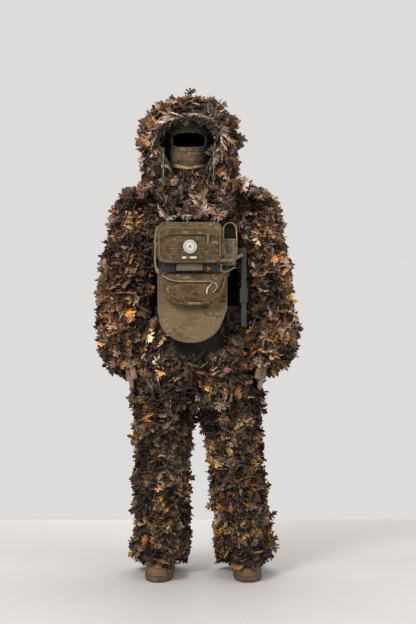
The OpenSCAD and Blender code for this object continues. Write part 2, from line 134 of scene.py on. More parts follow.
def scaled(t, vec, s):
    n = t.nodes.new("ShaderNodeMapping")
    t.links.new(vec, n.inputs["Vector"])
    n.inputs["Scale"].default_value = s
    return n.outputs["Vector"]


def noise(t, vec, scale, detail=2.0, distort=0.0, rough=0.5):
    n = N(t, "ShaderNodeTexNoise", None, Scale=scale, Detail=detail, Distortion=distort, Roughness=rough)
    t.links.new(vec, n.inputs["Vector"])
    return n.outputs["Fac"]


def ramp(t, fac, stops, mode="LINEAR"):
    r = t.nodes.new("ShaderNodeValToRGB")
    r.color_ramp.interpolation = mode
    e = r.color_ramp.elements
    while len(e) < len(stops):
        e.new(0.5)
    for i, (p, c) in enumerate(stops):
        e[i].position = p
        e[i].color = (*c, 1) if len(c) == 3 else c
    t.links.new(fac, r.inputs["Fac"])
    return r.outputs["Color"]


def mix(t, fac, a, b, mode="MIX"):
    n = t.nodes.new("ShaderNodeMix")
    n.data_type, n.blend_type = "RGBA", mode
    for sock, v in ((n.inputs[0], fac), (n.inputs[6], a), (n.inputs[7], b)):
        if hasattr(v, "is_output"):
            t.links.new(v, sock)
        elif isinstance(v, (int, float)):
            sock.default_value = v
        else:
            sock.default_value = (*v, 1)
    return n.outputs[2]


def math_n(t, op, a, b=None, clamp=False):
    n = t.nodes.new("ShaderNodeMath")
    n.operation, n.use_clamp = op, clamp
    for sock, v in ((n.inputs[0], a), (n.inputs[1], b)):
        if v is None:
            continue
        if hasattr(v, "is_output"):
            t.links.new(v, sock)
        else:
            sock.default_value = v
    return n.outputs[0]


def weave(t, vec, pitch=0.0012):
    """Over and under threads from two crossed waves, 0 to 1."""
    outs = []
    for d in ("X", "Z"):
        w = N(t, "ShaderNodeTexWave", {"wave_type": "BANDS", "bands_direction": d}, Scale=0.314 / pitch / 2, Distortion=0.4, Detail=1.0)
        w.inputs["Detail Scale"].default_value = 2.0
        t.links.new(vec, w.inputs["Vector"])
        outs.append(w.outputs["Fac"])
    return math_n(t, "MULTIPLY", outs[0], outs[1])


def bump(t, b, height, strength=0.4, dist=0.001):
    n = N(t, "ShaderNodeBump", None, Strength=strength, Distance=dist)
    t.links.new(height, n.inputs["Height"])
    t.links.new(n.outputs["Normal"], b.inputs["Normal"])
    return n


def wear(t, vec, col, light=(0.5, 0.42, 0.3), amount=0.35, scale=34.0):
    """Fading and rubbing in soft patches."""
    f = ramp(t, noise(t, vec, scale, 4, 0.3, 0.65), [(0.5, (0, 0, 0)), (0.78, (1, 1, 1))])
    return mix(t, math_n(t, "MULTIPLY", f, amount), col, light)


def camo(name, cols, scale=13.0, spots=True, rest=True, gain=1.0, rough=0.85, pitch=0.0013, stretch=1.7, cuts=(0.40, 0.50, 0.60)):
    """Printed cloth in soft blotches. cols: ground, second, third, dark spot, light spot."""
    m, t, b = new_mat(name, rough, 0.2, 0.12)
    v = coords(t, rest)
    sv = scaled(t, v, (1, 1, stretch))
    g = [tuple(gain * c for c in k) for k in cols]
    n1 = noise(t, sv, scale, 3, 0.35, 0.55)
    base = ramp(t, n1, [(cuts[0] - 0.03, g[2]), (cuts[0] + 0.02, g[0]), (cuts[1], g[0]), (cuts[1] + 0.05, g[1]), (cuts[2], g[1]), (cuts[2] + 0.05, g[0])])
    if spots:
        w = N(t, "ShaderNodeVectorMath", {"operation": "ADD"})
        t.links.new(sv, w.inputs[0])
        w.inputs[1].default_value = (3.1, 1.7, 5.3)
        dark = ramp(t, noise(t, w.outputs[0], scale * 2.1, 3, 0.8, 0.6), [(0.60, (0, 0, 0)), (0.625, (1, 1, 1))])
        base = mix(t, math_n(t, "MULTIPLY", dark, 0.85), base, g[3])
        w2 = N(t, "ShaderNodeVectorMath", {"operation": "ADD"})
        t.links.new(sv, w2.inputs[0])
        w2.inputs[1].default_value = (-2.4, 6.1, 1.9)
        pale = ramp(t, noise(t, w2.outputs[0], scale * 2.4, 2, 1.0, 0.5), [(0.63, (0, 0, 0)), (0.66, (1, 1, 1))])
        base = mix(t, math_n(t, "MULTIPLY", pale, 0.75), base, g[4])
    wv = weave(t, v, pitch)
    shade = ramp(t, wv, [(0.0, (0.80, 0.80, 0.80)), (0.6, (1.04, 1.04, 1.04))])
    col = mix(t, 1.0, base, shade, "MULTIPLY")
    col = wear(t, v, col, tuple(min(0.7, 1.6 * c) for c in g[0]), 0.28)
    t.links.new(col, b.inputs["Base Color"])
    crease = noise(t, v, 55, 4, 0.2, 0.6)
    h = math_n(t, "ADD", math_n(t, "MULTIPLY", wv, 0.35), crease)
    bump(t, b, h, 0.55, 0.0012)
    r = ramp(t, crease, [(0.3, (rough - 0.1,) * 3), (0.7, (min(1, rough + 0.1),) * 3)])
    t.links.new(r, b.inputs["Roughness"])
    return m


def webbing(name, col, rest=True, rib=0.0016, rough=0.75, axis="X", fade=0.3):
    """Woven strap: fine ribs across its run and faded, rubbed patches."""
    m, t, b = new_mat(name, rough, 0.3, 0.15)
    v = coords(t, rest)
    w = N(t, "ShaderNodeTexWave", {"wave_type": "BANDS", "bands_direction": axis}, Scale=0.314 / rib / 2, Distortion=0.6, Detail=2.0)
    t.links.new(v, w.inputs["Vector"])
    wv = weave(t, v, rib * 0.7)
    shade = ramp(t, w.outputs["Fac"], [(0, (0.68, 0.68, 0.68)), (0.7, (1.1, 1.1, 1.1))])
    c = mix(t, 1.0, ramp(t, noise(t, v, 60, 3), [(0.3, tuple(0.75 * k for k in col)), (0.7, tuple(1.2 * k for k in col))]), shade, "MULTIPLY")
    c = wear(t, v, c, tuple(min(0.6, 2.2 * k + 0.02) for k in col), fade, 70)
    t.links.new(c, b.inputs["Base Color"])
    bump(t, b, math_n(t, "ADD", w.outputs["Fac"], wv), 0.5, 0.0006)
    return m


def grained(name, col, rough=0.7, spec=0.3, scale=420.0, bumpy=0.35, vary=0.25, rest=True, sheen=0.0, dist=0.0006, scuff=None):
    """Suede, rubber and moulded plastic: fine grain, mottled tone, scuffs."""
    m, t, b = new_mat(name, rough, spec, sheen)
    v = coords(t, rest)
    big = noise(t, v, 24, 4, 0.3, 0.6)
    c = ramp(t, big, [(0.3, tuple((1 - vary) * k for k in col)), (0.7, tuple((1 + vary) * k for k in col))])
    fine = noise(t, v, scale, 3, 0.0, 0.6)
    c = mix(t, 1.0, c, ramp(t, fine, [(0.3, (0.82, 0.82, 0.82)), (0.7, (1.1, 1.1, 1.1))]), "MULTIPLY")
    if scuff:
        c = wear(t, v, c, scuff, 0.45, 46)
    t.links.new(c, b.inputs["Base Color"])
    bump(t, b, fine, bumpy, dist)
    t.links.new(ramp(t, big, [(0.3, (max(0, rough - 0.12),) * 3), (0.7, (min(1, rough + 0.12),) * 3)]), b.inputs["Roughness"])
    return m


TAN, GREEN, BROWN = (0.104, 0.064, 0.026), (0.050, 0.043, 0.015), (0.066, 0.032, 0.013)
DARK, PALE = (0.018, 0.011, 0.006), (0.26, 0.185, 0.095)
M = {}
M["pouch"] = camo("pouch_camo", [TAN, GREEN, BROWN, DARK, PALE], 17.0)
M["apron"] = camo("apron_camo", [(0.168, 0.112, 0.058), (0.104, 0.086, 0.036), (0.122, 0.072, 0.036), (0.034, 0.020, 0.012), (0.25, 0.18, 0.10)], 11.0, cuts=(0.36, 0.58, 0.65))
M["lining"] = camo("lining_camo", [(0.055, 0.062, 0.036), (0.035, 0.048, 0.030), (0.060, 0.042, 0.028), (0.012, 0.010, 0.008), (0.115, 0.105, 0.07)], 19.0)
M["mask"] = camo("mask_camo", [(0.130, 0.090, 0.048), (0.066, 0.066, 0.036), (0.105, 0.058, 0.034), (0.026, 0.020, 0.014), (0.22, 0.165, 0.10)], 20.0, pitch=0.001)
M["cover"] = camo("cover_cloth", [(0.015, 0.011, 0.008), (0.013, 0.014, 0.009), (0.022, 0.013, 0.009), (0.005, 0.004, 0.003), (0.030, 0.022, 0.015)], 15.0)
M["radio"] = camo("radio_camo", [(0.135, 0.115, 0.080), (0.085, 0.088, 0.052), (0.10, 0.068, 0.045), (0.03, 0.023, 0.017), (0.22, 0.18, 0.13)], 24.0)
M["black_web"] = webbing("black_webbing", (0.016, 0.016, 0.017))
M["black_cloth"] = grained("black_cloth", (0.012, 0.012, 0.013), 0.9, 0.15, 700, 0.3, 0.3)
M["grey_web"] = webbing("grey_webbing", (0.028, 0.030, 0.024), axis="Z")
M["tan_web"] = webbing("tan_webbing", (0.20, 0.14, 0.072))
M["piping"] = webbing("tan_piping", (0.135, 0.092, 0.046))
M["tan_webz"] = webbing("tan_webbing_upright", (0.20, 0.14, 0.075), axis="Z")
M["camo_web"] = camo("camo_webbing", [(0.135, 0.105, 0.068), (0.090, 0.088, 0.048), (0.10, 0.066, 0.042), (0.03, 0.022, 0.016), (0.21, 0.17, 0.12)], 30.0, pitch=0.0018)
M["binding"] = webbing("edge_binding", (0.040, 0.038, 0.024), axis="Z")
M["elastic"] = webbing("tan_elastic", (0.43, 0.26, 0.12), rib=0.001)
M["cordm"] = webbing("green_cord", (0.026, 0.030, 0.018), rib=0.001, axis="Z")
M["plastic"] = grained("black_plastic", (0.020, 0.021, 0.020), 0.45, 0.5, 900, 0.15, 0.15, rest=False, scuff=(0.035, 0.034, 0.030))
M["suede"] = grained("suede", (0.200, 0.118, 0.070), 0.92, 0.15, 520, 0.5, 0.3, sheen=0.3, dist=0.0007, scuff=(0.33, 0.24, 0.16))
M["boot"] = grained("boot_suede", (0.150, 0.085, 0.044), 0.88, 0.18, 480, 0.45, 0.22, sheen=0.08, dist=0.0007, scuff=(0.22, 0.15, 0.09))
M["rubber"] = grained("sole_rubber", (0.10, 0.062, 0.036), 0.8, 0.3, 300, 0.4, 0.3, scuff=(0.26, 0.21, 0.16))
# near-black for the inside of the face mask: painted shade seen through the eye slot
M["dark"] = grained("mask_inside_painted_shade", (0.003, 0.003, 0.003), 1.0, 0.0, 500, 0.1, 0.2)
M["thread"] = webbing("thread", (0.17, 0.13, 0.085), rib=0.0006)
M["orange_web"] = webbing("orange_tab", (0.34, 0.20, 0.075))
M["red"] = grained("red_tab", (0.30, 0.045, 0.035), 0.7, 0.3, 800, 0.3, 0.15)
M["white"] = grained("pale_rubber", (0.50, 0.47, 0.415), 0.6, 0.35, 700, 0.2, 0.08)
M["ink"] = grained("badge_ink", (0.030, 0.028, 0.026), 0.65, 0.3, 700, 0.2, 0.2)
M["metal"] = grained("dark_metal", (0.10, 0.095, 0.085), 0.4, 0.6, 900, 0.1, 0.2)


def leaf_material():
    m, t, b = new_mat("leaf_cloth", 0.82, 0.22, 0.08)
    v = coords(t)
    ca = N(t, "ShaderNodeAttribute", {"attribute_name": "ca"}).outputs["Color"]
    cb = N(t, "ShaderNodeAttribute", {"attribute_name": "cb"}).outputs["Color"]
    uv = N(t, "ShaderNodeAttribute", {"attribute_name": "leafuv"}).outputs["Vector"]
    s = N(t, "ShaderNodeSeparateXYZ")
    t.links.new(uv, s.inputs[0])
    blotch = ramp(t, noise(t, v, 62, 3, 0.7, 0.6), [(0.44, (0, 0, 0)), (0.56, (1, 1, 1))])
    col = mix(t, blotch, ca, cb)
    speck = ramp(t, noise(t, v, 190, 3, 0.5, 0.6), [(0.30, (0.45, 0.42, 0.40)), (0.46, (1, 1, 1)), (0.62, (1, 1, 1)), (0.72, (1.35, 1.3, 1.2))])
    col = mix(t, 1.0, col, speck, "MULTIPLY")
    au = math_n(t, "ABSOLUTE", s.outputs["X"])
    rib = math_n(t, "LESS_THAN", au, 0.018)
    side = math_n(t, "FRACT", math_n(t, "SUBTRACT", math_n(t, "MULTIPLY", s.outputs["Y"], 5.0), math_n(t, "MULTIPLY", au, 3.4)))
    side = math_n(t, "LESS_THAN", math_n(t, "ABSOLUTE", math_n(t, "SUBTRACT", side, 0.5)), 0.045)
    veins = math_n(t, "MAXIMUM", rib, math_n(t, "MULTIPLY", side, 0.7), True)
    col = mix(t, math_n(t, "MULTIPLY", veins, 0.45), col, (0.02, 0.013, 0.010))
    rim = ramp(t, au, [(0.25, (1, 1, 1)), (0.62, (0.78, 0.74, 0.72))])
    col = mix(t, 1.0, col, rim, "MULTIPLY")
    # each leaf is painted darker toward its stem: painted shade where it tucks under its neighbours
    deep = ramp(t, s.outputs["Y"], [(0.08, (0.10, 0.08, 0.07)), (0.52, (1, 1, 1))])
    col = mix(t, 1.0, col, deep, "MULTIPLY")
    t.links.new(col, b.inputs["Base Color"])
    wv = weave(t, v, 0.0011)
    h = math_n(t, "ADD", math_n(t, "MULTIPLY", wv, 0.25), math_n(t, "SUBTRACT", noise(t, v, 120, 3, 0.2, 0.6), math_n(t, "MULTIPLY", veins, 0.6)))
    bump(t, b, h, 0.6, 0.0012)
    t.links.new(ramp(t, blotch, [(0, (0.74,) * 3), (1, (0.9,) * 3)]), b.inputs["Roughness"])
    return m


M["leaf"] = leaf_material()


# ---------------------------------------------------------------- mesh helpers
def set_attr(me, name, kind, data, domain="POINT"):
    a = me.attributes.get(name) or me.attributes.new(name, kind, domain)
    a.data.foreach_set("color" if kind == "FLOAT_COLOR" else "vector", np.ascontiguousarray(data, np.float32).ravel())


def mark_rest(o):
    me = o.data
    co = np.zeros(len(me.vertices) * 3, np.float32)
    me.vertices.foreach_get("co", co)
    set_attr(me, "rest", "FLOAT_VECTOR", co)
    return o


def make(name, V, F, mat, body=None, smooth=True, mats=None, mat_ids=None):
    """A mesh from points in metres and faces; all faces have the same number of corners if F is an array."""
    me = bpy.data.meshes.new(name)
    V = np.asarray(V, np.float32)
    if isinstance(F, np.ndarray):
        k = F.shape[1]
        me.vertices.add(len(V))
        me.vertices.foreach_set("co", V.ravel())
        me.loops.add(F.size)
        me.loops.foreach_set("vertex_index", F.astype(np.int32).ravel())
        me.polygons.add(len(F))
        me.polygons.foreach_set("loop_start", np.arange(0, F.size, k, dtype=np.int32))
        me.update(calc_edges=True)
    else:
        me.from_pydata([tuple(map(float, v)) for v in V], [], [tuple(f) for f in F])
        me.update()
    if smooth:
        me.polygons.foreach_set("use_smooth", np.ones(len(me.polygons), bool))
    for q in mats or [mat]:
        me.materials.append(M[q] if isinstance(q, str) else q)
    if mat_ids is not None:
        me.polygons.foreach_set("material_index", np.asarray(mat_ids, np.int32))
    o = link(bpy.data.objects.new(name, me))
    mark_rest(o)
    if body:
        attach(o, body)
    return o


def bake_mods(o):
    dg = bpy.context.evaluated_depsgraph_get()
    me = bpy.data.meshes.new_from_object(o.evaluated_get(dg), preserve_all_data_layers=True, depsgraph=dg)
    old = o.data
    o.modifiers.clear()
    o.data = me
    bpy.data.meshes.remove(old)
    return o


def vnoise(p, seed=0):
    """Smooth value noise in 3-D, -1 to 1, the same every run."""
    p = np.asarray(p, float)
    i = np.floor(p).astype(np.int64)
    f = p - i
    f = f * f * (3 - 2 * f)
    out = np.zeros(p.shape[:-1])
    for dx in (0, 1):
        for dy in (0, 1):
            for dz in (0, 1):
                n = (i[..., 0] + dx) * 73856093 ^ (i[..., 1] + dy) * 19349663 ^ (i[..., 2] + dz) * 83492791 ^ (seed * 2654435 + 97)
                n = (n ^ (n >> 13)) & 0xFFFFFFFF
                n = (n * 1274126177) & 0xFFFFFFFF
                h = ((n ^ (n >> 16)) & 0xFFFF) / 65535.0
                w = (f[..., 0] if dx else 1 - f[..., 0]) * (f[..., 1] if dy else 1 - f[..., 1]) * (f[..., 2] if dz else 1 - f[..., 2])
                out += w * h
    return out * 2 - 1


def fbm(p, seed=0, octaves=3):
    p = np.asarray(p, float)
    return sum(vnoise(p * 2**k, seed + 11 * k) / 2**k for k in range(octaves)) / 1.75


def hermite(x, xs, ys):
    """A smooth curve through ys at xs."""
    xs, ys = np.asarray(xs, float), np.asarray(ys, float)
    m = np.gradient(ys, xs) if len(xs) > 2 else np.full(len(xs), (ys[-1] - ys[0]) / (xs[-1] - xs[0]))
    i = np.clip(np.searchsorted(xs, x) - 1, 0, len(xs) - 2)
    h = xs[i + 1] - xs[i]
    t = np.clip((x - xs[i]) / h, 0, 1)
    return (2 * t**3 - 3 * t**2 + 1) * ys[i] + (t**3 - 2 * t**2 + t) * h * m[i] + (-2 * t**3 + 3 * t**2) * ys[i + 1] + (t**3 - t**2) * h * m[i + 1]


def surface(rings, smooth=True):
    """f(z, angle in degrees) -> points in mm, from rings [z, cx, cy, rx, ry, rise, roundness]."""
    R = np.array([list(r) + [0, 2][len(r) - 5:] if len(r) < 7 else list(r) for r in rings], float)
    go = hermite if smooth else (lambda x, xs, ys: np.interp(x, xs, ys))

    def f(z, a):
        z, a = np.broadcast_arrays(np.asarray(z, float), np.asarray(a, float))
        cx, cy, rx, ry, up, e = (go(z, R[:, 0], R[:, k]) for k in range(1, 7))
        c, s = np.cos(np.radians(a)), np.sin(np.radians(a))
        x = cx + rx * np.sign(c) * np.abs(c) ** (2 / e)
        y = cy + ry * np.sign(s) * np.abs(s) ** (2 / e)
        return np.stack([x, y, z + up * s], -1)

    return f


def wrap(f, zs, angles, closed=True, folds=2.0, seed=1, thick=2.0, push=0.0, fold_scale=(16, 16, 26), fine=0.5):
    """A cloth wall from f(z, a): points and quads, with an inner face thick mm inside. folds is how deep its creases are, in mm."""
    zz, aa = np.meshgrid(zs, angles, indexing="ij")
    P = f(zz, aa)
    dz = f(zz + 1.5, aa) - f(zz - 1.5, aa)
    da = f(zz, aa + 1.0) - f(zz, aa - 1.0)
    n = np.cross(da, dz)
    ln = np.linalg.norm(n, axis=-1, keepdims=True)
    n = n / np.maximum(ln, 1e-9)
    q = P / np.array(fold_scale) / 1.0
    d = folds * fbm(q * np.array([0.55, 0.55, 1.0]), seed) + fine * fbm(q * 2.6, seed + 50)
    outer = P + n * (d + push)[..., None]
    inner = outer - n * thick
    m, k = zz.shape
    V = np.concatenate([outer.reshape(-1, 3), inner.reshape(-1, 3)])
    idx = np.arange(m * k).reshape(m, k)
    j2 = np.arange(k) if closed else np.arange(k - 1)
    jn = (j2 + 1) % k
    o = idx
    F = []
    a_, b_, c_, d_ = o[:-1][:, j2], o[:-1][:, jn], o[1:][:, jn], o[1:][:, j2]
    F.append(np.stack([a_, b_, c_, d_], -1).reshape(-1, 4))
    F.append(np.stack([d_, c_, b_, a_], -1).reshape(-1, 4) + m * k)
    for row, flip in ((0, False), (m - 1, True)):
        r, r2 = o[row][j2], o[row][jn]
        e = np.stack([r + m * k, r2 + m * k, r2, r], -1)
        F.append(e[:, ::-1] if flip else e)
    if not closed:
        for col, flip in ((0, True), (k - 1, False)):
            r, r2 = o[:-1, col], o[1:, col]
            e = np.stack([r + m * k, r2 + m * k, r2, r], -1)
            F.append(e if not flip else e[:, ::-1])
    return V, np.concatenate(F), outer, n


def tube_mesh(pts, radii, n=12, flat=1.0, up=(0, 0, 1), caps=True):
    """A round or flat tube along points in mm."""
    pts = np.asarray(pts, float)
    m = len(pts)
    radii = np.broadcast_to(np.asarray(radii, float), (m,))
    tan = np.gradient(pts, axis=0)
    tan /= np.linalg.norm(tan, axis=1, keepdims=True)
    u = np.cross(tan, np.asarray(up, float))
    bad = np.linalg.norm(u, axis=1) < 1e-3
    u[bad] = np.cross(tan[bad], (0.31, 0.95, 0.07))
    for i in range(1, m):  # keeps the frame from flipping
        if u[i] @ u[i - 1] < 0:
            u[i] = -u[i]
    u /= np.linalg.norm(u, axis=1, keepdims=True)
    v = np.cross(tan, u)
    a = np.arange(n) * 2 * math.pi / n
    V = pts[:, None] + radii[:, None, None] * (np.cos(a)[None, :, None] * u[:, None] + flat * np.sin(a)[None, :, None] * v[:, None])
    V = V.reshape(-1, 3)
    i, j = np.meshgrid(np.arange(m - 1), np.arange(n), indexing="ij")
    jn = (j + 1) % n
    F = [list(x) for x in np.stack([i * n + j, i * n + jn, (i + 1) * n + jn, (i + 1) * n + j], -1).reshape(-1, 4)]
    if caps:
        F += [list(range(n))[::-1], [(m - 1) * n + k for k in range(n)]]
    return V, F


def curve_pts(ctrl, count):
    """Smooth points through control points."""
    c = np.asarray(ctrl, float)
    s = np.concatenate([[0], np.cumsum(np.linalg.norm(np.diff(c, axis=0), axis=1))])
    t = np.linspace(0, s[-1], count)
    return np.stack([hermite(t, s, c[:, k]) for k in range(c.shape[1])], -1)


def merge(parts):
    """Joins (V, F) pairs into one."""
    V, F, k = [], [], 0
    for v, f in parts:
        V.append(np.asarray(v, float))
        F += [[int(i) + k for i in q] for q in f]
        k += len(v)
    return np.concatenate(V), F


def box_mesh(lo, hi):
    lo, hi = np.asarray(lo, float), np.asarray(hi, float)
    V = np.array([[(lo, hi)[i][0], (lo, hi)[j][1], (lo, hi)[k][2]] for i in (0, 1) for j in (0, 1) for k in (0, 1)])
    return V, [[0, 1, 3, 2], [4, 6, 7, 5], [0, 4, 5, 1], [2, 3, 7, 6], [0, 2, 6, 4], [1, 5, 7, 3]]


def bevelled(o, width, segments=2, subdiv=0):
    b = o.modifiers.new("b", "BEVEL")
    b.width, b.segments, b.limit_method = width, segments, "ANGLE"
    if subdiv:
        s = o.modifiers.new("s", "SUBSURF")
        s.levels = s.render_levels = subdiv
    bake_mods(o)
    o.data.polygons.foreach_set("use_smooth", np.ones(len(o.data.polygons), bool))
    return mark_rest(o)


# ---------------------------------------------------------------- the cords that hang from the hood
def hood_cord(side, tag):
    top = np.array([HOOD_X + side * 94, -150, 1606.0])
    pts = [W(top - (0, 0, 150.0 * i / 24)) for i in range(25)]
    c = bpy.data.curves.new("drawcord_" + tag, "CURVE")
    c.dimensions, c.bevel_depth, c.bevel_resolution = "3D", 0.002, 4
    s = c.splines.new("POLY")
    s.points.add(len(pts) - 1)
    for p, q in zip(s.points, pts):
        p.co = (*q, 1)
    c.materials.append(bpy.data.materials["green_cord"])
    o = link(bpy.data.objects.new("drawcord_" + tag, c))
    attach(o, "hood")
    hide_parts("hood_cord_" + tag)
    # the overhand knot at its end
    end = top - (0, 0, 150)
    a = np.linspace(0, 2 * math.pi, 49)
    kp = np.stack([(2.3 + 1.2 * np.cos(3 * a)) * np.cos(2 * a), (2.3 + 1.2 * np.cos(3 * a)) * np.sin(2 * a), 1.5 * np.sin(3 * a)], -1) + end + (0, 0, 3.0)
    V, F = tube_mesh(kp, 1.9, 8, caps=False)
    knot = make("drawcord_knot_" + tag, W(V), F, "cordm", "hood")
    return o


hood_cord(-1, "left")
hood_cord(1, "right")

# ---------------------------------------------------------------- outlines shared with the CAD
seat_r = [[660, -5, 8, 228, 138, 0, 2.6], [685, -5, 9, 218, 136, 0, 2.6], [720, -5, 10, 204, 134, 0, 2.6], [760, -5, 11, 188, 131, 0, 2.6], [800, -5, 12, 178, 129, 0, 2.6], [900, -5, 12, 168, 126, 0, 2.6], [985, -5, 10, 160, 118, 0, 2.6]]
jacket_r = [[790, -8, 15, 190, 150, 0, 2.6], [850, -8, 15, 196, 148, 0, 2.6], [920, -8, 15, 200, 145, 0, 2.6], [1000, -8, 14, 200, 142, 0, 2.6], [1100, -8, 12, 193, 138, 0, 2.6], [1200, -8, 10, 181, 136, 0, 2.6], [1300, -8, 6, 166, 134, 0, 2.6], [1390, -10, 4, 148, 128, 0, 2.6]]
hood_r = [[1498, HOOD_X, 8, 142, 150, 0, 2], [1545, HOOD_X, 8, 152, 158, 0, 2], [1600, HOOD_X, 8, 161, 166, 0, 2], [1650, HOOD_X, 8, 165, 170, 0, 2], [1700, HOOD_X, 8, 158, 164, 0, 2], [1742, HOOD_X, 8, 139, 145, 0, 2], [1776, HOOD_X, 8, 108, 113, 0, 2], [1799, HOOD_X, 8, 72, 76, 0, 2], [1811, HOOD_X, 8, 30, 32, 0, 2]]
head_r = [[1502, HOOD_X, 2, 66, 74, 0, 2], [1536, HOOD_X, -2, 64, 76, 0, 2], [1556, HOOD_X, -8, 68, 86, 0, 2], [1584, HOOD_X, -8, 73, 94, 0, 2], [1632, HOOD_X, -6, 75, 96, 0, 2], [1678, HOOD_X, -5, 76, 97, 0, 2], [1710, HOOD_X, -4, 73, 92, 0, 2], [1740, HOOD_X, -2, 62, 78, 0, 2], [1760, HOOD_X, 0, 44, 56, 0, 2], [1769, HOOD_X, 0, 20, 26, 0, 2]]
cape_r = [[1449, ARM_X, 0, 268, 186, 0, 2.4], [1458, ARM_X - 6, 0, 222, 170, 0, 2.3], [1468, -24, 0, 172, 148, 0, 2.2], [1480, -30, 2, 134, 122, 0, 2.1], [1494, -34, 2, 104, 100, 0, 2]]
cape_drop = [[-92, -128], [-62, -80], [-30, -36], [-8, -10], [0, 0]]


def leg_x(s, z):
    return -130 - (672 - z) * 0.022 if s < 0 else 119 + (672 - z) * 0.098


def leg_rings(s):
    return [[76, leg_x(s, 76), 14, 84, 92, -34, 2], [130, leg_x(s, 130), 15, 87, 93, -16, 2], [190, leg_x(s, 190), 15, 87, 91, 0, 2], [300, leg_x(s, 300), 10, 84, 86, 0, 2], [400, leg_x(s, 400), 5, 83, 84, 0, 2],
            [500, leg_x(s, 500), 2, 87, 88, 0, 2], [550, leg_x(s, 550), 5, 89, 91, 0, 2], [610, leg_x(s, 610), 7, 90, 90, 0, 2], [672, leg_x(s, 672), 8, 86, 84, 0, 2]]


def arm_rings(s):
    def c(d):
        return ARM_X + s * d
    return [[820, c(257), -13, 58, 61, -22, 2], [860, c(269), -8, 61, 63, -8, 2], [930, c(278), -3, 64, 64, 0, 2], [1010, c(279), 0, 64, 64, 0, 2], [1060, c(276), 0, 64, 64, 0, 2], [1136, c(270), 0, 66, 66, 0, 2],
            [1200, c(259), 0, 64, 65, 0, 2], [1290, c(244), 0, 62, 64, 0, 2], [1375, c(230), 0, 61, 64, 0, 2], [1405, c(227), 0, 54, 56, 0, 2], [1425, c(223), 0, 38, 40, 0, 2], [1435, c(221), 0, 18, 19, 0, 2]]


def cape_f(u, a):
    """The cape, u from 0 at its hem to 1 at the neck."""
    u, a = np.broadcast_arrays(np.asarray(u, float), np.asarray(a, float))
    R = np.array(cape_r, float)
    t = np.clip(u, 0, 1) * 4
    k = [np.interp(t, range(5), R[:, c]) for c in range(7)]
    c, s = np.cos(np.radians(a)), np.sin(np.radians(a))
    x = k[1] + k[3] * np.sign(c) * np.abs(c) ** (2 / k[6])
    y = k[2] + k[4] * np.sign(s) * np.abs(s) ** (2 / k[6])
    fl = np.clip((158 - np.abs(x - ARM_X)) / 54, 0, 1)
    fl = fl * fl * (3 - 2 * fl)
    D = np.array(cape_drop, float)
    back = np.clip(0.5 + y / 60, 0, 1)
    drop = np.interp(t, range(5), D[:, 0]) * (1 - back) + np.interp(t, range(5), D[:, 1]) * back
    return np.stack([x, y, k[0] + fl * drop], -1)


# ---------------------------------------------------------------- the backing cloth
def cloth(name, f, zs, angles, mat, body, replaces=(), slot="cover_cloth", **kw):
    V, F, _, _ = wrap(f, zs, angles, **kw)
    o = make(name, W(V), F, mat)
    if body:
        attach(o, body)
    if replaces:
        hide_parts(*replaces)
    return o


ALL = np.arange(0, 360, 3.75)
jacket_f, seat_f, hood_f, head_f = surface(jacket_r), surface(seat_r), surface(hood_r), surface(head_r)
cloth("jacket_cloth", jacket_f, np.linspace(790, 1390, 76), np.linspace(-15, 210, 76), "cover", "torso", ["jacket_body"], closed=False, folds=5, fine=1.0, seed=3)
cloth("trouser_seat_cloth", seat_f, np.linspace(661, 985, 46), ALL, "cover", "torso", ["trouser_seat"], folds=4, fine=1.0, seed=5, push=-3)
cape_o = cloth("shoulder_cape_cloth", cape_f, np.linspace(0, 1, 30), ALL, "cover", "torso", ["shoulder_cape"], folds=0.0, fine=0.0, thick=1.5)
legs, arms = {}, {}
for s, tag in ((-1, "left"), (1, "right")):
    lf, af = surface(leg_rings(s)), surface(arm_rings(s))
    legs[tag], arms[tag] = lf, af
    cloth("thigh_cloth_" + tag, lf, np.linspace(600, 676, 14), ALL, "cover", "thigh_" + tag, ["thigh_" + tag], folds=3, fine=1, seed=7, push=-16)
    o = cloth("knee_cloth_" + tag, lf, np.linspace(330, 600, 46), ALL, "cover", None, folds=3, fine=1, seed=7, push=-16)
    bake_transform(o)
    cloth("shin_cloth_" + tag, lf, np.linspace(77, 330, 40), ALL, "cover", "lower_leg_" + tag, ["shin_" + tag], folds=3, fine=1, seed=7, push=-16)
    cloth("shoulder_cloth_" + tag, af, np.linspace(1290, 1434, 26), ALL, "cover", "upper_sleeve_" + tag, ["sleeve_upper_" + tag], folds=3, fine=1, seed=9, push=-4)
    o = cloth("elbow_cloth_" + tag, af, np.linspace(940, 1290, 56), ALL, "cover", None, folds=3, fine=1, seed=9, push=-4)
    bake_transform(o)
    cloth("forearm_cloth_" + tag, af, np.linspace(821, 940, 20), ALL, "cover", "lower_sleeve_" + tag, ["sleeve_lower_" + tag], folds=3, fine=1, seed=9, push=-4)

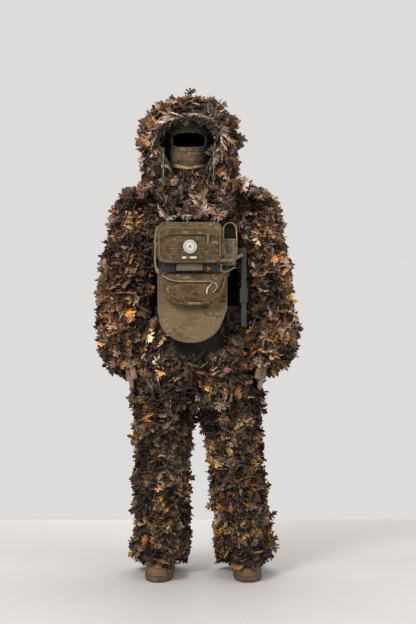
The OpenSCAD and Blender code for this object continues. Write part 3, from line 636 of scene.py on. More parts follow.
# ---------------------------------------------------------------- leaves
# Half outlines of four cut leaves: (across, along), from the stem to the tip.
LEAVES = [
    [(0.02, 0), (0.03, 0.10), (0.20, 0.06), (0.40, 0.00), (0.36, 0.13), (0.50, 0.16), (0.30, 0.25), (0.14, 0.27), (0.40, 0.30), (0.56, 0.28), (0.52, 0.40), (0.60, 0.50), (0.38, 0.46), (0.16, 0.47), (0.26, 0.58), (0.42, 0.68), (0.28, 0.70), (0.24, 0.82), (0.12, 0.76), (0.10, 0.90)],
    [(0.02, 0), (0.03, 0.12), (0.16, 0.14), (0.34, 0.08), (0.44, 0.16), (0.34, 0.24), (0.12, 0.28), (0.26, 0.36), (0.48, 0.34), (0.56, 0.46), (0.42, 0.50), (0.14, 0.48), (0.22, 0.58), (0.40, 0.60), (0.44, 0.72), (0.30, 0.74), (0.11, 0.70), (0.16, 0.84), (0.09, 0.93)],
    [(0.015, 0), (0.02, 0.18), (0.22, 0.10), (0.30, 0.20), (0.46, 0.18), (0.44, 0.30), (0.60, 0.36), (0.42, 0.44), (0.20, 0.42), (0.34, 0.52), (0.50, 0.60), (0.32, 0.64), (0.14, 0.60), (0.20, 0.74), (0.30, 0.84), (0.15, 0.84), (0.07, 0.94)],
    [(0.015, 0), (0.03, 0.08), (0.13, 0.10), (0.20, 0.22), (0.12, 0.26), (0.10, 0.34), (0.22, 0.44), (0.18, 0.54), (0.08, 0.54), (0.17, 0.68), (0.12, 0.78), (0.06, 0.78), (0.06, 0.92)],
]
MIDRIB = [0.0, 0.2, 0.4, 0.6, 0.8, 1.0]


def prototype(half):
    h = [(u, v) for u, v in half]
    ring = h + [(0, m) for m in MIDRIB[::-1]]
    tri = tessellate_polygon([[Vector((u, v, 0)) for u, v in ring]])
    n = len(h)
    pts = list(h) + [(0, m) for m in MIDRIB[::-1]] + [(-u * 0.94, v * 0.985 + 0.01 * (k % 3)) for k, (u, v) in enumerate(h)]
    F = []
    for a, b, c in tri:
        F.append([a, b, c])
        F.append([(i if i >= n else i + n + len(MIDRIB)) for i in (c, b, a)])
    P = np.array(pts, float)
    F = np.array(F, int)
    # all faces turned the same way
    for f in F:
        a, b, c = P[f]
        if (b[0] - a[0]) * (c[1] - a[1]) - (b[1] - a[1]) * (c[0] - a[0]) < 0:
            f[:] = f[::-1]
    return P[:, 0], P[:, 1], F


PROTO = [prototype(h) for h in LEAVES]

PAL = {
    "black": (0.006, 0.004, 0.003), "dark": (0.034, 0.019, 0.012), "brown": (0.130, 0.072, 0.042), "mauve": (0.205, 0.115, 0.094), "grey": (0.235, 0.165, 0.118),
    "beige": (0.430, 0.305, 0.215), "pale": (0.600, 0.450, 0.350), "orange": (0.400, 0.155, 0.030), "amber": (0.560, 0.290, 0.060), "maroon": (0.095, 0.024, 0.024), "green": (0.062, 0.074, 0.036), "olive": (0.150, 0.125, 0.058),
}
NAMES = list(PAL)
PALV = np.array([PAL[n] for n in NAMES])


def colours(P, weights, seed):
    """Two colours for each leaf. Neighbours tend to share one, as the leaves come in strips of one print."""
    w = np.array([weights.get(n, 0.0) for n in NAMES]) + 1e-9
    g = np.log(w)[None] + 1.5 * np.stack([vnoise(P / 62.0 + 3.7 * k, seed + k) for k in range(len(NAMES))], -1) - np.log(-np.log(rng.random((len(P), len(NAMES))) + 1e-12) + 1e-12)
    a = g.argmax(1)
    g[np.arange(len(P)), a] = -99
    g += rng.gumbel(size=g.shape)
    b = g.argmax(1)
    k = np.clip(np.exp(rng.normal(0.0, 0.42, (len(P), 1))), 0.3, 2.0) * np.clip(1.0 + 0.9 * vnoise(P / 70.0, seed + 40), 0.3, 1.7)[:, None]
    ca, cb = PALV[a] * k, PALV[b] * k
    cb = ca * 0.45 + cb * 0.55
    return ca, cb


def scatter(f, u0, u1, a0, a1, n, density=None, nu=64, na=120):
    """n spots on f(u, a), even over its area times density: points, outward normals and the way down."""
    uu, aa = np.meshgrid(np.linspace(u0, u1, nu + 1), np.linspace(a0, a1, na + 1), indexing="ij")
    P = f(uu, aa)
    area = np.linalg.norm(np.cross(P[1:, :-1] - P[:-1, :-1], P[:-1, 1:] - P[:-1, :-1]), axis=-1)
    uc, ac = (uu[:-1, :-1] + uu[1:, 1:]) / 2, (aa[:-1, :-1] + aa[1:, 1:]) / 2
    clump = vnoise(f(uc, ac).reshape(-1, 3) / 44.0, 77).reshape(area.shape)
    area = area * np.clip(1 + 1.1 * clump, 0.15, 2.4)
    if density is not None:
        area = area * np.clip(density(uc, ac, f(uc, ac)), 0, None)
    p = (area / area.sum()).ravel()
    # a low-discrepancy draw keeps the cover even
    cut = (np.arange(n) + rng.random(n)) / n
    idx = np.searchsorted(np.cumsum(p), cut).clip(0, p.size - 1)
    i, j = np.unravel_index(idx, area.shape)
    u = uu[i, j] + rng.random(n) * (uu[1, 0] - uu[0, 0])
    a = aa[i, j] + rng.random(n) * (aa[0, 1] - aa[0, 0])
    du, da = (u1 - u0) * 1e-3, 0.4
    Q = f(u, a)
    Du, Da = f(u + du, a) - f(u - du, a), f(u, a + da) - f(u, a - da)
    nrm = np.cross(Da, Du)
    nrm /= np.maximum(np.linalg.norm(nrm, axis=1, keepdims=True), 1e-9)
    down = -Du / np.maximum(np.linalg.norm(Du, axis=1, keepdims=True), 1e-9)
    down -= (down * nrm).sum(1, keepdims=True) * nrm
    down /= np.maximum(np.linalg.norm(down, axis=1, keepdims=True), 1e-9)
    return Q, nrm, down


def leaf_mesh(name, P, nrm, down, weights, seed, length=(50, 72), width=(0.86, 1.08), flare=(38, 24), yaw=55, kinds=(0, 1, 2), lift=(1, 12), body=None, bend=0.55, floor=4.0, keep=None, box=None):
    """All the leaves of one piece, as one mesh."""
    n = len(P)
    ca, cb = colours(P, weights, seed)
    L = rng.uniform(*length, n)
    Wd = L * rng.uniform(*width, n)
    psi = np.radians(rng.normal(0, yaw, n))
    phi = np.radians(np.clip(rng.normal(flare[0], flare[1], n), 2, 88))
    roll = np.radians(rng.normal(0, 30, n))
    side = np.cross(nrm, down)
    along0 = np.cos(psi)[:, None] * down + np.sin(psi)[:, None] * side
    cross0 = -np.sin(psi)[:, None] * down + np.cos(psi)[:, None] * side
    d = np.cos(phi)[:, None] * along0 + np.sin(phi)[:, None] * nrm
    h = -np.sin(phi)[:, None] * along0 + np.cos(phi)[:, None] * nrm
    w = np.cos(roll)[:, None] * cross0 + np.sin(roll)[:, None] * h
    h = np.cross(w, d)
    h *= np.sign((h * nrm).sum(1, keepdims=True) + 1e-9)
    out = rng.uniform(*lift, n) + np.where(rng.random(n) < 0.05, rng.uniform(6, 22, n), 0)
    base = P + nrm * out[:, None] - d * (0.18 * L)[:, None]
    kind = rng.choice(kinds, n)
    kap = rng.normal(0.15, bend, n)
    fold = rng.normal(0.10, 0.20, n)
    twist = rng.normal(0, 0.35, n)
    Vs, Fs, A, B, UV, at = [], [], [], [], [], 0
    for k in sorted(set(kinds)):
        pick = np.where(kind == k)[0]
        if not len(pick):
            continue
        U, V, F = PROTO[k]
        m = len(U)
        Lk, Wk = L[pick][:, None], Wd[pick][:, None]
        s = V[None] * np.ones((len(pick), 1))
        q = kap[pick][:, None]
        run = (s - (q * s) ** 2 * s / 6) * Lk
        up = 0.5 * q * s**2 * Lk
        across = U[None] * Wk
        up = up - fold[pick][:, None] * np.abs(across) + rng.normal(0, 1, (len(pick), m)) * np.abs(across) * 0.08
        tw = twist[pick][:, None] * s
        ac2 = across * np.cos(tw) - up * np.sin(tw)
        up2 = across * np.sin(tw) + up * np.cos(tw)
        X = base[pick][:, None] + run[..., None] * d[pick][:, None] + ac2[..., None] * w[pick][:, None] + up2[..., None] * h[pick][:, None]
        Vs.append(X.reshape(-1, 3))
        Fs.append((F[None] + (np.arange(len(pick)) * m)[:, None, None]).reshape(-1, 3) + at)
        at += len(pick) * m
        A.append(np.repeat(ca[pick], m, 0))
        B.append(np.repeat(cb[pick], m, 0))
        UV.append(np.stack([np.broadcast_to(U, (len(pick), m)).ravel(), np.broadcast_to(V, (len(pick), m)).ravel(), np.zeros(len(pick) * m)], -1))
    X = np.concatenate(Vs)
    X[:, 2] = np.maximum(X[:, 2], floor)
    if box is not None:
        X = np.clip(X, box[0], box[1])
    o = make(name, W(X), np.concatenate(Fs), "leaf")
    one = np.ones((len(X), 1))
    set_attr(o.data, "ca", "FLOAT_COLOR", np.hstack([np.concatenate(A), one]))
    set_attr(o.data, "cb", "FLOAT_COLOR", np.hstack([np.concatenate(B), one]))
    set_attr(o.data, "leafuv", "FLOAT_VECTOR", np.concatenate(UV))
    if body:
        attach(o, body)
    return o


LIMIT = (np.array([-420.0, -281.0, 3.0]), np.array([406.0, 243.0, 1905.0]))  # mm, in the suit's layout
W_HOOD = dict(black=2.2, dark=2.0, brown=2.2, mauve=2.5, grey=2.1, beige=2.5, pale=1.3, orange=1.2, amber=1.3, maroon=0.6, green=0.2, olive=0.2)
W_CAPE = dict(black=1.6, dark=1.3, brown=2.2, mauve=2.9, grey=2.5, beige=2.7, pale=1.4, orange=0.9, amber=0.8, maroon=0.5, green=0.2, olive=0.2)
W_ARM = dict(black=3.6, dark=2.4, brown=2.3, mauve=1.7, grey=1.7, beige=1.3, pale=0.5, orange=1.3, amber=1.2, maroon=0.5, green=0.4, olive=0.3)
W_LEG = dict(black=4.8, dark=3.6, brown=2.8, mauve=1.2, grey=1.2, beige=0.5, pale=0.1, orange=1.2, amber=0.7, maroon=0.4, green=0.6, olive=0.5)
# leaf mix of mostly black and dark leaves: partly the suit's own dark leaves, partly painted shade for the seat under
# the jacket, the armholes and the throat
W_SHADED = dict(black=8.0, dark=5.0, brown=2.4, mauve=0.8, grey=0.7, beige=0.25, pale=0.2, orange=0.7, amber=0.5, maroon=0.3, green=0.5, olive=0.4)


def put(name, f, u0, u1, a0, a1, n, weights, seed, replaces=(), density=None, **kw):
    P, nrm, down = scatter(f, u0, u1, a0, a1, n, density)
    o = leaf_mesh(name, P, nrm, down, weights, seed, box=LIMIT, **kw)
    if replaces:
        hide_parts(*replaces)
    return o


put("leaves_jacket", jacket_f, 800, 1390, -14, 209, 1500, W_ARM, 100, ["leaves_torso"], body="torso")
# the seat leaves take the darkest mix: painted shade under the jacket
put("leaves_seat", seat_f, 668, 985, 0, 360, 1250, W_SHADED, 140, body="torso", lift=(-2, 10), flare=(32, 18), density=lambda u, a, p: np.where(np.sin(np.radians(a)) > 0.3, 0.8, 1.2) * np.where((u > 850) & (np.abs(a - 270) < 38), 0.0, 1))
put("leaves_cape", cape_f, 0.0, 0.98, 0, 360, 900, W_CAPE, 180, body="torso", yaw=60, flare=(34, 22), length=(48, 68), density=lambda u, a, p: (np.abs(p[..., 0] - ARM_X) < 185) * 1.0)
put("leaves_cape_sides", cape_f, 0.0, 0.6, 0, 360, 420, W_CAPE, 185, body="torso", yaw=60, flare=(16, 12), length=(40, 56), lift=(-16, -5), density=lambda u, a, p: (np.abs(p[..., 0] - ARM_X) >= 185) * 1.0)
# between the cape and the sleeves
for s, tag in ((-1, "left"), (1, "right")):
    def hollow(u, a, s=s):
        u, a = np.broadcast_arrays(np.asarray(u, float), np.asarray(a, float))
        return np.stack([ARM_X + a, -62 - 20 * np.cos((a - s * 145) / 40.0), u], -1)
    # the armhole leaves take the darkest mix: painted shade under the cape
    put("leaves_armhole_" + tag, hollow, 1335, 1448, *((104, 186) if s > 0 else (-186, -104)), 95, W_SHADED, 190, body="torso", flare=(20, 14), lift=(-6, 6))
throat_f = surface([[1476, HOOD_X, 0, 100, 112, 0, 2], [1500, HOOD_X, 0, 84, 98, 0, 2], [1526, HOOD_X, -2, 72, 86, 0, 2]])
# the throat leaves take the darkest mix: painted shade under the hood
put("leaves_throat", throat_f, 1480, 1524, 205, 335, 110, W_SHADED, 195, body="torso", flare=(18, 12), length=(34, 48), lift=(0, 6))
hood_open = lambda u, a, p: np.where((np.abs(a - 270) < np.where(u > 1630, 45 * np.sqrt(np.clip(1 - ((u - 1630) / 98) ** 2, 0, 1)), np.interp(u, [1498, 1540, 1585, 1630], [24, 26, 34, 44])) + 5), 0.0, 1.0)
put("leaves_hood_cover", hood_f, 1500, 1790, 0, 360, 1130, W_HOOD, 220, ["leaves_hood"], body="hood", density=hood_open, yaw=60, flare=(31, 20), lift=(-13, -1))
put("leaves_hood_skirt", hood_f, 1500, 1548, -48, 52, 70, W_HOOD, 228, body="hood", yaw=60, flare=(36, 16), lift=(6, 22))
put("leaves_hood_crown", hood_f, 1790, 1810, 0, 360, 75, W_HOOD, 225, body="hood", yaw=60, flare=(26, 16), lift=(-2, 8), length=(40, 54))
for s, tag in ((-1, "left"), (1, "right")):
    af, lf = arms[tag], legs[tag]
    inner = (lambda u, a, p, s=s: np.where(np.cos(np.radians(a)) * s > -0.35, 1.0, 0.35))
    put("leaves_shoulder_" + tag, af, 1290, 1420, 0, 360, 340, W_ARM, 260, ["leaves_upper_arm_" + tag], density=inner, body="upper_sleeve_" + tag, flare=(26, 18), lift=(-10, 4))
    o = put("leaves_elbow_" + tag, af, 960, 1290, 0, 360, 860, W_ARM, 300, density=inner, flare=(34, 22), lift=(-12, 0) if s > 0 else (-5, 6))
    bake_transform(o)
    put("leaves_forearm_cover_" + tag, af, 826, 960, 0, 360, 400, W_ARM, 340, ["leaves_forearm_" + tag], density=inner, body="lower_sleeve_" + tag, lift=(6, 18) if s > 0 else (-8, 3))
    put("leaves_thigh_" + tag, lf, 585, 676, 0, 360, 300, W_LEG, 380, body="thigh_" + tag, length=(44, 62), flare=(27, 18), lift=(-3, 9))
    o = put("leaves_knee_" + tag, lf, 345, 585, 0, 360, 760, W_LEG, 420, length=(44, 62), flare=(27, 18), lift=(-12, 0))
    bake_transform(o)
    put("leaves_lower_leg_" + tag, lf, 92, 345, 0, 360, 840, W_LEG, 460, ["leaves_shin_" + tag], body="lower_leg_" + tag, length=(44, 62), flare=(27, 18), lift=(-12, 0))

# ---------------------------------------------------------------- more helpers for sewn goods
def co_of(o):
    co = np.zeros(len(o.data.vertices) * 3, np.float32)
    o.data.vertices.foreach_get("co", co)
    return co.reshape(-1, 3).astype(float)


def set_co(o, co):
    o.data.vertices.foreach_set("co", np.ascontiguousarray(co, np.float32).ravel())
    o.data.update()


def normals_of(o):
    n = np.zeros(len(o.data.vertices) * 3, np.float32)
    o.data.vertices.foreach_get("normal", n)
    return n.reshape(-1, 3).astype(float)


def puff(o, pressure=4.0, cap=0.007, frames=20):
    """Swells a closed piece as stuffed cloth, with the way any point may go capped."""
    a = co_of(o)
    c = o.modifiers.new("c", "CLOTH")
    c.settings.quality = 5
    c.settings.mass = 0.3
    c.settings.use_pressure = True
    c.settings.uniform_pressure_force = pressure
    c.settings.effector_weights.gravity = 0
    c.settings.tension_stiffness = c.settings.compression_stiffness = 12
    c.collision_settings.use_collision = False
    sc = bpy.context.scene
    for fr in range(1, frames + 1):
        sc.frame_set(fr)
    bake_mods(o)
    sc.frame_set(1)
    b = co_of(o)
    d = b - a
    ln = np.linalg.norm(d, axis=1, keepdims=True)
    set_co(o, a + d * np.minimum(1, cap / np.maximum(ln, 1e-9)))
    return o


def soften(node, name, mat, body, voxel=4.0, smooth=6, amp=0.6, shape=None, sim=None, subdiv=1, seed=1, scale=(30, 30, 30), extra=()):
    """A sewn version of a CAD solid: remeshed, shaped, swelled, creased and smoothed."""
    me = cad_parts[node].data.copy()
    me.materials.clear()
    o = link(bpy.data.objects.new(name, me))
    r = o.modifiers.new("r", "REMESH")
    r.mode, r.voxel_size = "VOXEL", voxel * MM
    bake_mods(o)
    if shape:
        set_co(o, W(shape(co_of(o) / MM - OFF)))
    s = o.modifiers.new("s", "SMOOTH")
    s.factor, s.iterations = 0.5, smooth
    bake_mods(o)
    if sim:
        puff(o, *sim)
    if amp:
        p = co_of(o)
        set_co(o, p + normals_of(o) * (amp * MM * fbm(p / MM / np.array(scale), seed, 4))[:, None])
    if subdiv:
        s = o.modifiers.new("u", "SUBSURF")
        s.levels = s.render_levels = subdiv
        bake_mods(o)
    o.data.polygons.foreach_set("use_smooth", np.ones(len(o.data.polygons), bool))
    o.data.materials.append(M[mat])
    mark_rest(o)
    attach(o, body)
    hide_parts(node, *extra)
    return o


class Front:
    """Finds how far forward the surface of some pieces comes, in mm, so that trims lie on it."""

    def __init__(self, *objs):
        V, F, k = [], [], 0
        for o in objs:
            co = co_of(o) / MM - OFF
            V += [tuple(c) for c in co]
            F += [[i + k for i in p.vertices] for p in o.data.polygons]
            k += len(co)
        self.t = BVHTree.FromPolygons(V, F)

    def y(self, x, z, default=None):
        h = self.t.ray_cast(Vector((float(x), -700.0, float(z))), Vector((0, 1, 0)))
        return h[0][1] if h[0] is not None else default


def resample(path, step):
    p = np.asarray(path, float)
    s = np.concatenate([[0], np.cumsum(np.linalg.norm(np.diff(p, axis=0), axis=1))])
    t = np.linspace(0, s[-1], max(2, int(round(s[-1] / step)) + 1))
    return np.stack([np.interp(t, s, p[:, k]) for k in range(p.shape[1])], -1)


def ribbon(front, path, width, thick=1.2, lift=0.0, step=4.0, default=-230.0, skin=1.2):
    """A strap, zip or patch laid along (x, z) points on a surface."""
    p = resample(path, step)
    t = np.gradient(p, axis=0)
    t /= np.maximum(np.linalg.norm(t, axis=1, keepdims=True), 1e-9)
    nrm = np.stack([-t[:, 1], t[:, 0]], -1)
    prof = [(-1.0, 0.1), (-0.93, 0.85), (-0.45, 1.0), (0.0, 1.0), (0.45, 1.0), (0.93, 0.85), (1.0, 0.1)]
    rows = []
    last = default
    for q, m in zip(p, nrm):
        row = []
        for u, h in prof:
            x, z = q + m * u * width / 2
            y = front.y(x, z, last) if front else default
            last = y
            row.append((x, y - lift - thick * h, z))
        for u in (0.9, -0.9):
            x, z = q + m * u * width / 2
            y = front.y(x, z, last) if front else default
            row.append((x, y + skin, z))
        rows.append(row)
    V = np.array(rows).reshape(-1, 3)
    k, n = len(rows), len(rows[0])
    F = [[i * n + j, i * n + (j + 1) % n, (i + 1) * n + (j + 1) % n, (i + 1) * n + j] for i in range(k - 1) for j in range(n)]
    F += [list(range(n))[::-1], [(k - 1) * n + j for j in range(n)]]
    return V, F


def stitches(front, path, lift=0.3, dash=3.2, gap=1.8, r=0.42, default=-230.0):
    p = resample(path, dash + gap)
    parts = []
    for a, b in zip(p[:-1], p[1:]):
        e = a + (b - a) * dash / (dash + gap)
        ya = front.y(*a, default) if front else default
        ye = front.y(*e, default) if front else default
        V, F = tube_mesh([(a[0], ya - lift + 0.3, a[1]), ((a[0] + e[0]) / 2, (ya + ye) / 2 - lift, (a[1] + e[1]) / 2), (e[0], ye - lift + 0.3, e[1])], r, 5, up=(0, 1, 0.01))
        parts.append((V, F))
    return merge(parts)


def rr(w, h, r, cx=0.0, cz=0.0, per=9):
    pts = []
    for k, (sx, sz) in enumerate(((1, 1), (-1, 1), (-1, -1), (1, -1))):
        for a in np.linspace(0, 90, per):
            t = math.radians(a + 90 * k)
            pts.append((cx + sx * (w / 2 - r) + r * math.cos(t), cz + sz * (h / 2 - r) + r * math.sin(t)))
    return pts


def put_mesh(name, VF, mat, body, flip=False, mats=None, mat_ids=None, replaces=()):
    V, F = VF
    o = make(name, W(V), F, mat, body, mats=mats, mat_ids=mat_ids)
    bm = bmesh.new()
    bm.from_mesh(o.data)
    bmesh.ops.recalc_face_normals(bm, faces=bm.faces)
    bm.to_mesh(o.data)
    bm.free()
    if replaces:
        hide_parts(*replaces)
    return o


def paint(node, mat, slot=None):
    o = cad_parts[node]
    o.data.materials.clear()
    o.data.materials.append(M[mat])
    return o


# ---------------------------------------------------------------- hood, with its brim and lining
def open_half(z):
    """Half the width of the face opening, in degrees round the hood, at a height."""
    z = np.asarray(z, float)
    top = 45.0 * np.sqrt(np.clip(1 - ((z - 1630) / 92) ** 2, 0, 1))
    low = np.interp(z, [1498, 1540, 1585, 1630], [26, 28, 36, 45])
    return np.where(z > 1630, top, low)


def hood_open_f(z, t):
    z, t = np.broadcast_arrays(np.asarray(z, float), np.asarray(t, float))
    h = open_half(z)
    a = 270 + h + t / 360.0 * (360 - 2 * h)
    P = hood_f(z, a)
    # the brim stands forward round the opening, most at the brow
    away = np.minimum(t, 360 - t)
    push = np.exp(-((away / 16.0) ** 2)) * np.interp(z, [1500, 1600, 1700, 1722, 1760], [2, 7, 15, 14, 0])
    P = P.copy()
    P[..., 1] -= push
    P[..., 0] += np.sign(P[..., 0] - HOOD_X) * push * 0.3
    return P


zs = np.concatenate([np.linspace(1499, 1700, 44), np.linspace(1703, 1721.6, 12), np.linspace(1724, 1810, 22)])
V, F, _, _ = wrap(hood_open_f, zs, np.linspace(0, 360, 116), closed=False, folds=5, fine=1.2, seed=13, thick=2.5)
k = len(V) // 2
inner = (F >= k).all(1)
hood_o = make("hood_cloth", W(V), F, "cover", "hood", mats=["cover", "lining"], mat_ids=inner.astype(int))
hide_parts("hood_shell")


def rim_path(push=0.0, out=0.0, lo=1506, count=70):
    a = np.linspace(0, 1, count)
    left = [(z, -1) for z in lo + (1721.5 - lo) * np.sin(a * math.pi / 2) ** 0.75]
    pts = []
    for z, sd in left:
        p = hood_open_f(z, 360.0 if sd < 0 else 0.0)
        pts.append(p)
    L = np.array(pts)
    R = np.array([hood_open_f(z, 0.0) for z, _ in left])
    P = np.concatenate([L, R[::-1][1:]])
    P[:, 1] -= push
    return resample(P, 4.0)


rim = rim_path(1.5)
wob = 1 + 0.22 * np.sin(np.arange(len(rim)) * 1.9) + 0.12 * np.sin(np.arange(len(rim)) * 0.7)
put_mesh("hood_rim_tunnel", tube_mesh(rim, 2.3 * wob, 10, flat=1.5, up=(0, 1, 0)), "binding", "hood", replaces=["hood_rim"])
# a second row of sewn cloth inside the brim, which the light catches under the arch
inner_rim = rim_path(-7)
inner_rim = inner_rim + (np.array([HOOD_X, 0, 1640]) - inner_rim) * np.array([0.04, 0, 0.03])
put_mesh("hood_lining_facing", tube_mesh(inner_rim, 5.0 * (1 + 0.12 * np.sin(np.arange(len(inner_rim)) * 1.1)), 10, flat=0.35, up=(0, 1, 0)), "lining", "hood")

# the long narrow leaves along the brim
bp = rim_path(4.0, lo=1545, count=60)
sel = np.linspace(2, len(bp) - 3, 110).astype(int)
tang = np.gradient(bp, axis=0)
tang /= np.linalg.norm(tang, axis=1, keepdims=True)
dn = tang[sel] * np.where(bp[sel, 0] < bp[:, 0][np.argmax(bp[:, 2])], -1.0, 1.0)[:, None]
outw = np.stack([(bp[sel, 0] - HOOD_X) * 0.006, -np.ones(len(sel)), 0.25 + 0 * bp[sel, 0]], -1)
outw /= np.linalg.norm(outw, axis=1, keepdims=True)
away = np.cross(dn, outw)
away *= np.sign((away * np.stack([bp[sel, 0] - HOOD_X, 0 * sel, bp[sel, 2] - 1600], -1)).sum(1, keepdims=True))
P0 = bp[sel] + away * rng.uniform(3, 17, len(sel))[:, None] + rng.normal(0, 2, (len(sel), 3))
leaf_mesh("brim_leaves", P0, outw, dn, dict(beige=3, grey=3, pale=1.6, mauve=1.2, brown=1.5, dark=1.0, black=0.4), 510, length=(52, 82), width=(0.34, 0.5), flare=(14, 10), yaw=16, kinds=(3,), lift=(1, 9), body="hood", bend=0.5, box=LIMIT)

# ---------------------------------------------------------------- face mask, cap, chin strap
mask_z, mask_a = np.linspace(1503, 1768, 118), np.arange(0, 360, 2.5)
V, F, _, _ = wrap(head_f, mask_z, mask_a, folds=5.0, fine=0.6, seed=17, thick=1.8, fold_scale=(36, 36, 12))
zz, aa = np.meshgrid(mask_z, mask_a, indexing="ij")


def in_slot(z, a, grow=0.0):
    u, v = (a - 270) / (56 + grow), (z - 1648.5) / (29 + grow)
    return np.abs(u) ** 3.2 + np.abs(v) ** 2.6 < 1


flag = np.tile(in_slot(zz, aa).ravel(), 2)
keep = ~flag[F].all(1)
F = F[keep]
inner = (F >= len(V) // 2).all(1)
# the mask's inner faces take the near-black material: painted shade inside the eye slot
mask_o = make("face_mask", W(V), F, "mask", "torso", mats=["mask", "dark"], mat_ids=inner.astype(int))
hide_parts("balaclava")
th = np.linspace(0, 2 * math.pi, 97)[:-1]
ex = lambda t, e: np.sign(t) * np.abs(t) ** (2 / e)
hem = np.array([head_f(1648.5 + 29.6 * ex(math.sin(t), 2.6), 270 + 57.0 * ex(math.cos(t), 3.2)) for t in th])
hem = np.concatenate([hem, hem[:2]])
hc = np.array([HOOD_X, 0, 1646])
hv = (hem - hc) * np.array([1, 1, 0])
hem = hem + hv / np.linalg.norm(hv, axis=1, keepdims=True) * 1.0
put_mesh("mask_hem", tube_mesh(hem, 2.3 * (1 + 0.1 * np.sin(np.arange(len(hem)) * 1.3)), 8, caps=False), "mask", "torso")
put_mesh("mask_hem_fold", tube_mesh(np.array([head_f(1612 - 5 * math.sin(math.radians((a - 228) / 84 * 180)), a) + 1.4 * np.array([math.cos(math.radians(a)), math.sin(math.radians(a)), 0]) for a in np.linspace(228, 312, 40)]), 2.4, 8, flat=0.6), "mask", "torso")

cap_f = surface([[1683, HOOD_X, -5, 80.5, 102, 0, 2], [1700, HOOD_X, -5, 79.5, 100.5, 0, 2], [1722, HOOD_X, -4, 77, 95, 0, 2], [1744, HOOD_X, -2, 68, 84, 0, 2], [1764, HOOD_X, 0, 49, 61, 0, 2], [1775, HOOD_X, 0, 24, 30, 0, 2]])
cloth("cap_cloth", cap_f, np.linspace(1684, 1774.5, 34), np.arange(0, 360, 3.75), "lining", "torso", ["cap"], "lining_camo", folds=1.8, fine=0.4, seed=21, thick=1.6)
put_mesh("cap_band", tube_mesh([cap_f(1687.5, a) + np.array([math.cos(math.radians(a)), math.sin(math.radians(a)), 0]) * 0.6 for a in np.linspace(0, 364, 92)], 1.5, 10, flat=3.4, up=(0, 0, 1), caps=False), "lining", "torso")
put_mesh("cap_seams", merge([tube_mesh([cap_f(z, a) + np.array([math.cos(math.radians(a)), math.sin(math.radians(a)), 0.3]) * 0.7 for z in np.linspace(1690, 1774, 16)], 0.9, 6) for a in (30, 90, 150, 210, 270, 330)]), "thread", "torso")
strap_pts = [head_f(1545.5 + 13 * abs(math.cos(math.radians(a))) ** 1.3, a) + 2.4 * np.array([math.cos(math.radians(a)), math.sin(math.radians(a)), 0]) for a in np.linspace(0, 364, 96)]
put_mesh("chin_strap_elastic", tube_mesh(strap_pts, 2.0, 10, flat=3.8, up=(0, 0, 1), caps=False), "elastic", "torso", replaces=["chin_strap"])
# the throat tab of the hood
put_mesh("throat_tab", tube_mesh(curve_pts([(-52, -122, 1532), (-53, -133, 1520), (-54, -146, 1500), (-54, -158, 1478)], 14), 6.5, 10, flat=0.3, up=(1, 0, 0)), "grey_web", "torso")

